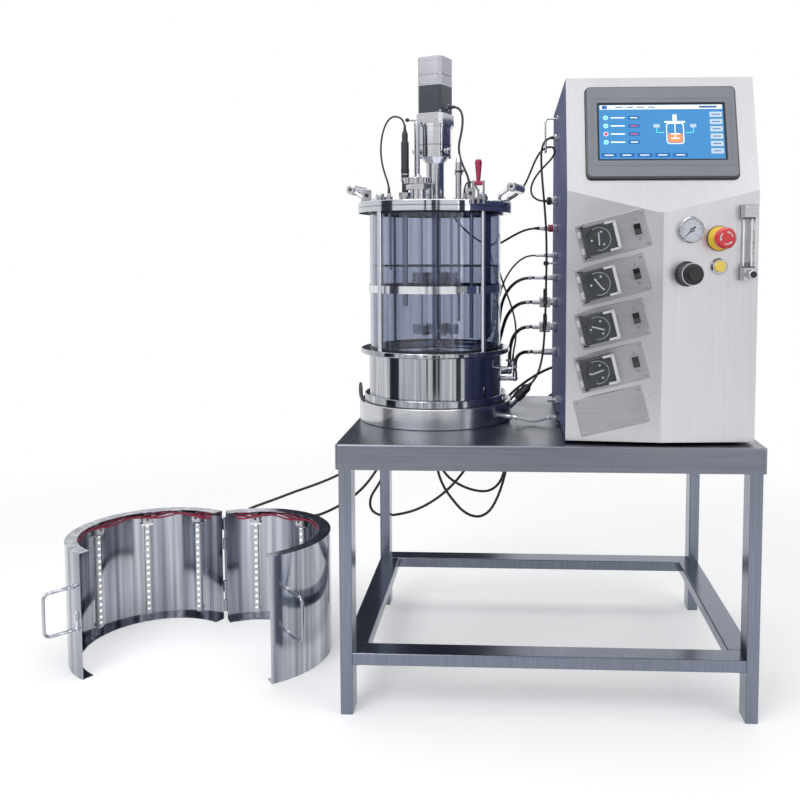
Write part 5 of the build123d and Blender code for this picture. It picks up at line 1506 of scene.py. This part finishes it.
def addWires(bm, wires, placeAt):
    for strand in range(wires["strands"]):
        points = []
        for step in range(wires["points"]):
            offset = wires["from"] + wires["sweep"] * step / (wires["points"] - 1)
            sway = math.sin(math.radians(offset * wires["waves"] + wires["shift"] * strand))
            radius = wires["radius"] - wires["stepIn"] * strand + wires["swayIn"] * sway
            height = wires["height"] - wires["stepDown"] * strand + wires["swayUp"] * sway
            points.append(placeAt(offset) @ Vector((radius, 0, height)))
        addTube(bm, points, wires["thick"], wires["sides"])


def makeJacketTrim(name, leaf, setup):
    angle = math.radians(leaf["angle"])
    hingeX, hingeY = setup["hinge"]
    middle = shift(hingeX + setup["reach"] * math.cos(angle), hingeY + setup["reach"] * math.sin(angle))
    chips, white, steel, wires, dark = (bmesh.new() for index in range(5))

    def placeAt(offset):
        return middle @ turn(leaf["angle"] + 180 - leaf["side"] * offset)

    chip = setup["chips"]
    for offset in setup["strips"]:
        inward = placeAt(offset) @ shift(setup["stripFace"]) @ turn(-90, "Y")
        for index in range(chip["count"]):
            spot = (chip["first"] + index * chip["step"], 0)
            addBlock(chips, chip["size"], chip["height"], inward, spot, chip["tint"])
        for bm, clips in ((white, setup["whiteClips"]), (steel, setup["steelClips"])):
            for size, height, up in clips:
                addBlock(bm, size, height, inward, (up, 0))
        up, half, rise = setup["clipScrewAt"]
        for side in (-1, 1):
            addTurned(steel, *setup["clipScrew"], inward @ shift(up, side * half, rise))
        addTurned(dark, *setup["plug"], inward @ shift(setup["plugAt"]))
    addWires(wires, setup["wires"], placeAt)
    for height in setup["handleHeights"]:
        outward = middle @ turn(leaf["handle"]) @ shift(setup["radius"], 0, height) @ turn(90, "Y")
        for sleeve in setup["handleSleeves"]:
            addTurned(steel, *sleeve, outward)
    if name == "Left":
        latch = middle @ turn(leaf["angle"] + setup["latchTurn"])
        latch = latch @ shift(setup["radius"], 0, setup["latchHeight"]) @ turn(90, "Y")
        addBlock(steel, *setup["latchPlate"], latch)
        addBlock(steel, *setup["latchGrip"], latch, (setup["latchGripAt"], 0))
        for x in setup["latchScrewsAt"]:
            addTurned(steel, *setup["latchScrew"], latch @ shift(x))
    else:
        addTurned(steel, *setup["pinCap"], shift(*setup["hinge"], setup["pinTop"]))
    body = leaf["body"]
    addPart("lampChips" + name, chips, "lightChip", body)
    addPart("lampClips" + name, white, "whitePlastic", body, setup["clipRounding"])
    addPart("jacketFittings" + name, steel, "rodSteel", body)
    addPart("jacketWires" + name, wires, "wireCrimson", body)
    addPart("lampPlugs" + name, dark, "blackPlastic", body)


# Cabinet's left side: connector sleeves, gland rings, valve nuts, ball knob and hose clamps.
sideSetup = {
    "wall": (33.0, 50.0),
    "signal": {
        "height": 973.0,
        "sleeve": ([(6.7, 10.0), (8.6, 10.0), (8.6, 20.0), (7.4, 21.5), (6.7, 21.5)], 32),
        "nut": ring(4.9, 6.6, 26.0, 33.0, 32),
    },
    "socket": {"height": 1035.0, "bore": 5.9, "from": 15.2, "to": 24.6, "ribs": 4, "step": 2.3, "sides": 36},
    "socketRib": [(9.2, 15.4), (9.2, 16.8), (8.6, 17.1)],
    "ballAt": (7.0, 48.0, 893.0),
    "ball": 6.25,
    "ballSteps": 12,
    "ballSides": 32,
    "glands": {1035.0: 8.0, 973.0: 6.5, 911.0: 5.0, 860.0: 6.0, 804.0: 8.0, 747.0: 8.0, 689.0: 7.5},
    # shares of a gland's radius, then from, to and sides
    "glandSeal": (1.5, 1.62, 0.05, 1.2, 40),
    "glandRing": (1.02, 1.25, 9.03, 10.0, 40),
    "valves": {
        "supplyValveNut": ("side_valve_supply", 804.0),
        "returnValveNut": ("side_valve_return", 747.0),
    },
    "stem": (5.0, 29.8),
    "nut": 9.0,
    "nutHeight": (0.05, 3.4),
    "nutDome": ([(0, 3.42), (2.4, 3.42), (2.0, 4.2), (0, 4.3)], 20),
    "clamped": ("upperHose", "supplyHose", "returnHose", "sideHose", "drainHose"),
    # past the hose's radius, then from, to and sides
    "clamp": (0.1, 1.0, 7.0, 13.5, 32),
    "clampScrewAt": (2.0, 10.25),
    "clampScrew": ([(0, -4.5), (1.9, -4.5), (1.9, 3.0), (2.6, 3.2), (2.6, 5.0), (0, 5.0)], 16),
}


def makeSideTrim(setup):
    red, dark, steel = bmesh.new(), bmesh.new(), bmesh.new()

    def wallPlace(height):
        return shift(*setup["wall"], height) @ turn(-90, "Y")

    signal, socket = setup["signal"], setup["socket"]
    addTurned(red, *signal["sleeve"], wallPlace(signal["height"]))
    addTurned(steel, *signal["nut"], wallPlace(signal["height"]))
    profile = [(socket["bore"], socket["from"])]
    for index in range(socket["ribs"]):
        profile += [(radius, height + socket["step"] * index) for radius, height in setup["socketRib"]]
    addTurned(dark, profile + [(socket["bore"], socket["to"])], socket["sides"], wallPlace(socket["height"]))
    ball, steps = setup["ball"], setup["ballSteps"]
    angles = [math.pi * step / steps for step in range(1, steps)]
    profile = [(ball * math.sin(angle), -ball * math.cos(angle)) for angle in angles]
    addTurned(dark, [(0, -ball), *profile, (0, ball)], setup["ballSides"], shift(*setup["ballAt"]))
    for height, radius in setup["glands"].items():
        for bm, (inner, outer, *rest) in ((dark, setup["glandSeal"]), (steel, setup["glandRing"])):
            addTurned(bm, *ring(radius * inner, radius * outer, *rest), wallPlace(height))
    addPart("sideRedPlug", red, "crimson")
    addPart("sideDarkTrim", dark, "blackPlastic")
    for name, (body, height) in setup["valves"].items():
        bm = bmesh.new()
        nut = shift(*setup["stem"], height) @ turn(90, "X")
        addPrism(bm, hexOutline(setup["nut"]), *setup["nutHeight"], nut)
        addTurned(bm, *setup["nutDome"], nut)
        addPart(name, bm, "turnedSteel", body)
    inner, outer, *rest = setup["clamp"]
    out, rise = setup["clampScrewAt"]
    for name in setup["clamped"]:
        radius = cordSetups[name]["diameter"] / 2
        for place in cordEnds(cordSetups[name]["route"]):
            addTurned(steel, *ring(radius + inner, radius + outer, *rest), place)
            addTurned(steel, *setup["clampScrew"], place @ shift(radius + out, 0, rise) @ turn(90, "X"))
    addPart("sideSteelTrim", steel, "rodSteel")


# Cabinet's back and right side: door seam, screws, vents whose slots are dark sheets of painted shade, and
# foot rings.
wallSetup = {
    "middle": 905.0,
    "sideMiddle": -13.0,
    "seam": ((322.0, 650.0), (319.8, 647.8), 9.0, 0.03, 0.25),
    "vents": [
        # face, rows, top and the columns' middles
        ("back", 10, 250.0, (-72.0, 72.0)),
        ("side", 9, 240.0, (-95.0, 95.0)),
    ],
    "slot": (92.0, 4.0, 1.9, 4),
    "slotHeight": (0.03, 0.3),
    "slotStep": 11.0,
    "hood": [(0.05, 0.0), (2.6, -1.6), (2.8, -1.0), (2.2, 1.2), (0.05, 2.4)],
    "hoodHalf": 45.0,
    "hoodUp": 1.6,
    "screw": {"Head Radius": 3.6, "Head Height": 1.5, "Socket Radius": 1.6, "Sides": 6},
    "screwColumns": (-151.0, 151.0),
    "screwRows": 6,
    "screwSpan": 624.0,
    "endScrews": (-315.0, 315.0),
    "feetX": (68.0, 362.0),
    "feetY": (-234.0, 227.0),
    "foot": ring(15.1, 15.7, 545.1, 550.9, 40),
}


def makeWallTrim(setup):
    faces = {
        "back": facing((cabinetMiddle, cabinet["back"], setup["middle"]), (-1, 0, 0), (0, 1, 0)),
        "side": facing((cabinet["right"], setup["sideMiddle"], setup["middle"]), (0, 1, 0), (1, 0, 0)),
    }
    dark, hoods = bmesh.new(), bmesh.new()
    addFrame(dark, *setup["seam"], faces["back"])
    half = setup["hoodHalf"]
    for face, rows, top, columns in setup["vents"]:
        for x in columns:
            for row in range(rows):
                y = top - row * setup["slotStep"]
                # Each slot is a dark sheet on the wall under its hood: painted shade of the opening.
                addBlock(dark, setup["slot"], setup["slotHeight"], faces[face], (x, y))
                hood = faces[face] @ shift(x, y + setup["hoodUp"]) @ turn(-90, "Y")
                addPrism(hoods, setup["hood"], -half, half, hood)
    addPart("ventSlots", dark, "blackPlastic")
    bmesh.ops.recalc_face_normals(hoods, faces=hoods.faces)
    addPart("ventHoods", hoods, "cabinetBlue")
    points = [faces["back"] @ shift(0, y) for y in setup["endScrews"]]
    for row in range(setup["screwRows"]):
        y = (row / (setup["screwRows"] - 1) - 0.5) * setup["screwSpan"]
        points += [faces["back"] @ shift(x, y) for x in setup["screwColumns"]]
    addScrews("doorScrews", setup["screw"], "turnedSteel", points)
    bm = bmesh.new()
    for x in setup["feetX"]:
        for y in setup["feetY"]:
            addTurned(bm, *setup["foot"], shift(x, y))
    addPart("footRings", bm, "rubber")


for name, leaf in jacketSetup["leaves"].items():
    makeJacketTrim(name, leaf, jacketSetup)
makeSideTrim(sideSetup)
makeWallTrim(wallSetup)
print("stage: jacket, side and back trim")

# Floor and world; lamps with their places, aims, sizes in metres and watts; cards in millimetres.
stageSetup = {
    "floorSize": 24.0,
    "floorShade": (238, 238, 240),
    "floorRough": 0.8,
    "floorLift": 0.3,
    "fade": (1.1, 2.4),
    "dayLight": 0.42,
}
lampSetups = {
    "keyLight": {"at": (-1500, -2300, 2500), "aim": (-150, 0, 700), "size": 1.8, "power": 42.0},
    "fillLight": {"at": (2300, -1700, 1800), "aim": (0, 0, 700), "size": 2.2, "power": 22.0},
    "topLight": {"at": (-200, 500, 3200), "aim": (-150, 0, 500), "size": 2.6, "power": 34.0},
}
cardShade = {"Base Color": linear((70, 74, 88)), "Roughness": 0.9}
cardSetups = {
    "darkCardLeft": {"at": (-2600, -900, 900), "aim": (-400, 0, 700), "size": (900, 2400)},
    "darkCardRight": {"at": (1900, -2300, 900), "aim": (-100, 0, 700), "size": (500, 2400)},
    "darkCardFrontLeft": {"at": (-860, -3600, 600), "aim": (0, 0, 600), "size": (170, 1700)},
    "darkCardFrontMiddle": {"at": (-90, -3600, 600), "aim": (0, 0, 600), "size": (400, 1700)},
    "darkCardFrontRight": {"at": (330, -3600, 600), "aim": (0, 0, 600), "size": (240, 1700)},
    "darkCardBack": {"at": (-700, 2600, 900), "aim": (-300, 0, 700), "size": (1200, 2400)},
}


# 1 for the camera, mirrors and glass, 0 for everything else.
def seenMask(tree):
    path = addNode(tree, "ShaderNodeLightPath")
    seen = mathNode(tree, "MAXIMUM", path["Is Camera Ray"], path["Is Glossy Ray"])
    return mathNode(tree, "MAXIMUM", seen, path["Is Transmission Ray"])


# White where it is seen, plain grey daylight where it only lights.
def makeWorld(setup):
    world = bpy.data.worlds.new("studioWorld")
    world.use_nodes = True
    bpy.context.scene.world = world
    tree = world.node_tree
    tree.nodes.clear()
    values = {"Value": seenMask(tree), "To Min": setup["dayLight"], "To Max": 1.0}
    level = addNode(tree, "ShaderNodeMapRange", values)["Result"]
    glow = addNode(tree, "ShaderNodeBackground", {"Color": (1, 1, 1, 1), "Strength": level})
    addNode(tree, "ShaderNodeOutputWorld", {"Surface": glow["Background"]})


def addSheet(name, wide, high, place, material):
    x, y = wide / 2, high / 2
    mesh = bpy.data.meshes.new(name)
    mesh.from_pydata([(-x, -y, 0), (x, -y, 0), (x, y, 0), (-x, y, 0)], [], [(0, 1, 2, 3)])
    mesh.transform(place)
    mesh.materials.append(material)
    sheet = addObject(name, mesh)
    return sheet


# Pale near the object, where it takes the shadow, and plain white further out.
def makeFloor(setup):
    material, tree, shader = blankMaterial("paleFloor")
    spot = addNode(tree, "ShaderNodeTexCoord")["Object"]
    distance = addNode(tree, "ShaderNodeVectorMath", {0: spot}, operation="LENGTH")["Value"]
    near, far = setup["fade"]
    values = {"Value": distance, "From Min": near, "From Max": far}
    fade = addNode(tree, "ShaderNodeMapRange", values, interpolation_type="SMOOTHSTEP")["Result"]
    mixColours(tree, shader, fade, setup["floorShade"], (0, 0, 0))
    lift = addNode(tree, "ShaderNodeMapRange", {"Value": fade, "To Min": setup["floorLift"], "To Max": 1.0})
    setInputs(tree, shader, {
        "Roughness": setup["floorRough"],
        "Specular IOR Level": 0.0,
        "Emission Color": (1, 1, 1, 1),
        "Emission Strength": mathNode(tree, "MULTIPLY", seenMask(tree), lift["Result"]),
    })
    addSheet("paleFloor", setup["floorSize"], setup["floorSize"], home, material)


def makeLamps(setups):
    for name, lamp in setups.items():
        data = bpy.data.lights.new(name, "AREA")
        data.size = lamp["size"]
        data.energy = lamp["power"]
        light = addObject(name, data)
        light.location = inMetres(*lamp["at"])
        direction = inMetres(*lamp["aim"]) - light.location
        light.rotation_euler = direction.to_track_quat("-Z", "Y").to_euler()
        light.visible_camera = False


# Grey cards that only polished metal and other gloss can see.
def makeCards(setups):
    material, tree, shader = blankMaterial("cardGrey")
    setInputs(tree, shader, cardShade)
    for name, card in setups.items():
        towards = Vector(card["aim"]) - Vector(card["at"])
        place = toMetres @ facing(card["at"], Vector((0, 0, 1)).cross(towards), towards)
        sheet = addSheet(name, *card["size"], place, material)
        sheet.visible_camera = False
        sheet.visible_diffuse = False
        sheet.visible_transmission = False
        sheet.visible_shadow = False


makeWorld(stageSetup)
makeFloor(stageSetup)
makeLamps(lampSetups)
makeCards(cardSetups)
bpy.context.scene.view_settings.view_transform = "Standard"
print("stage: floor and light")
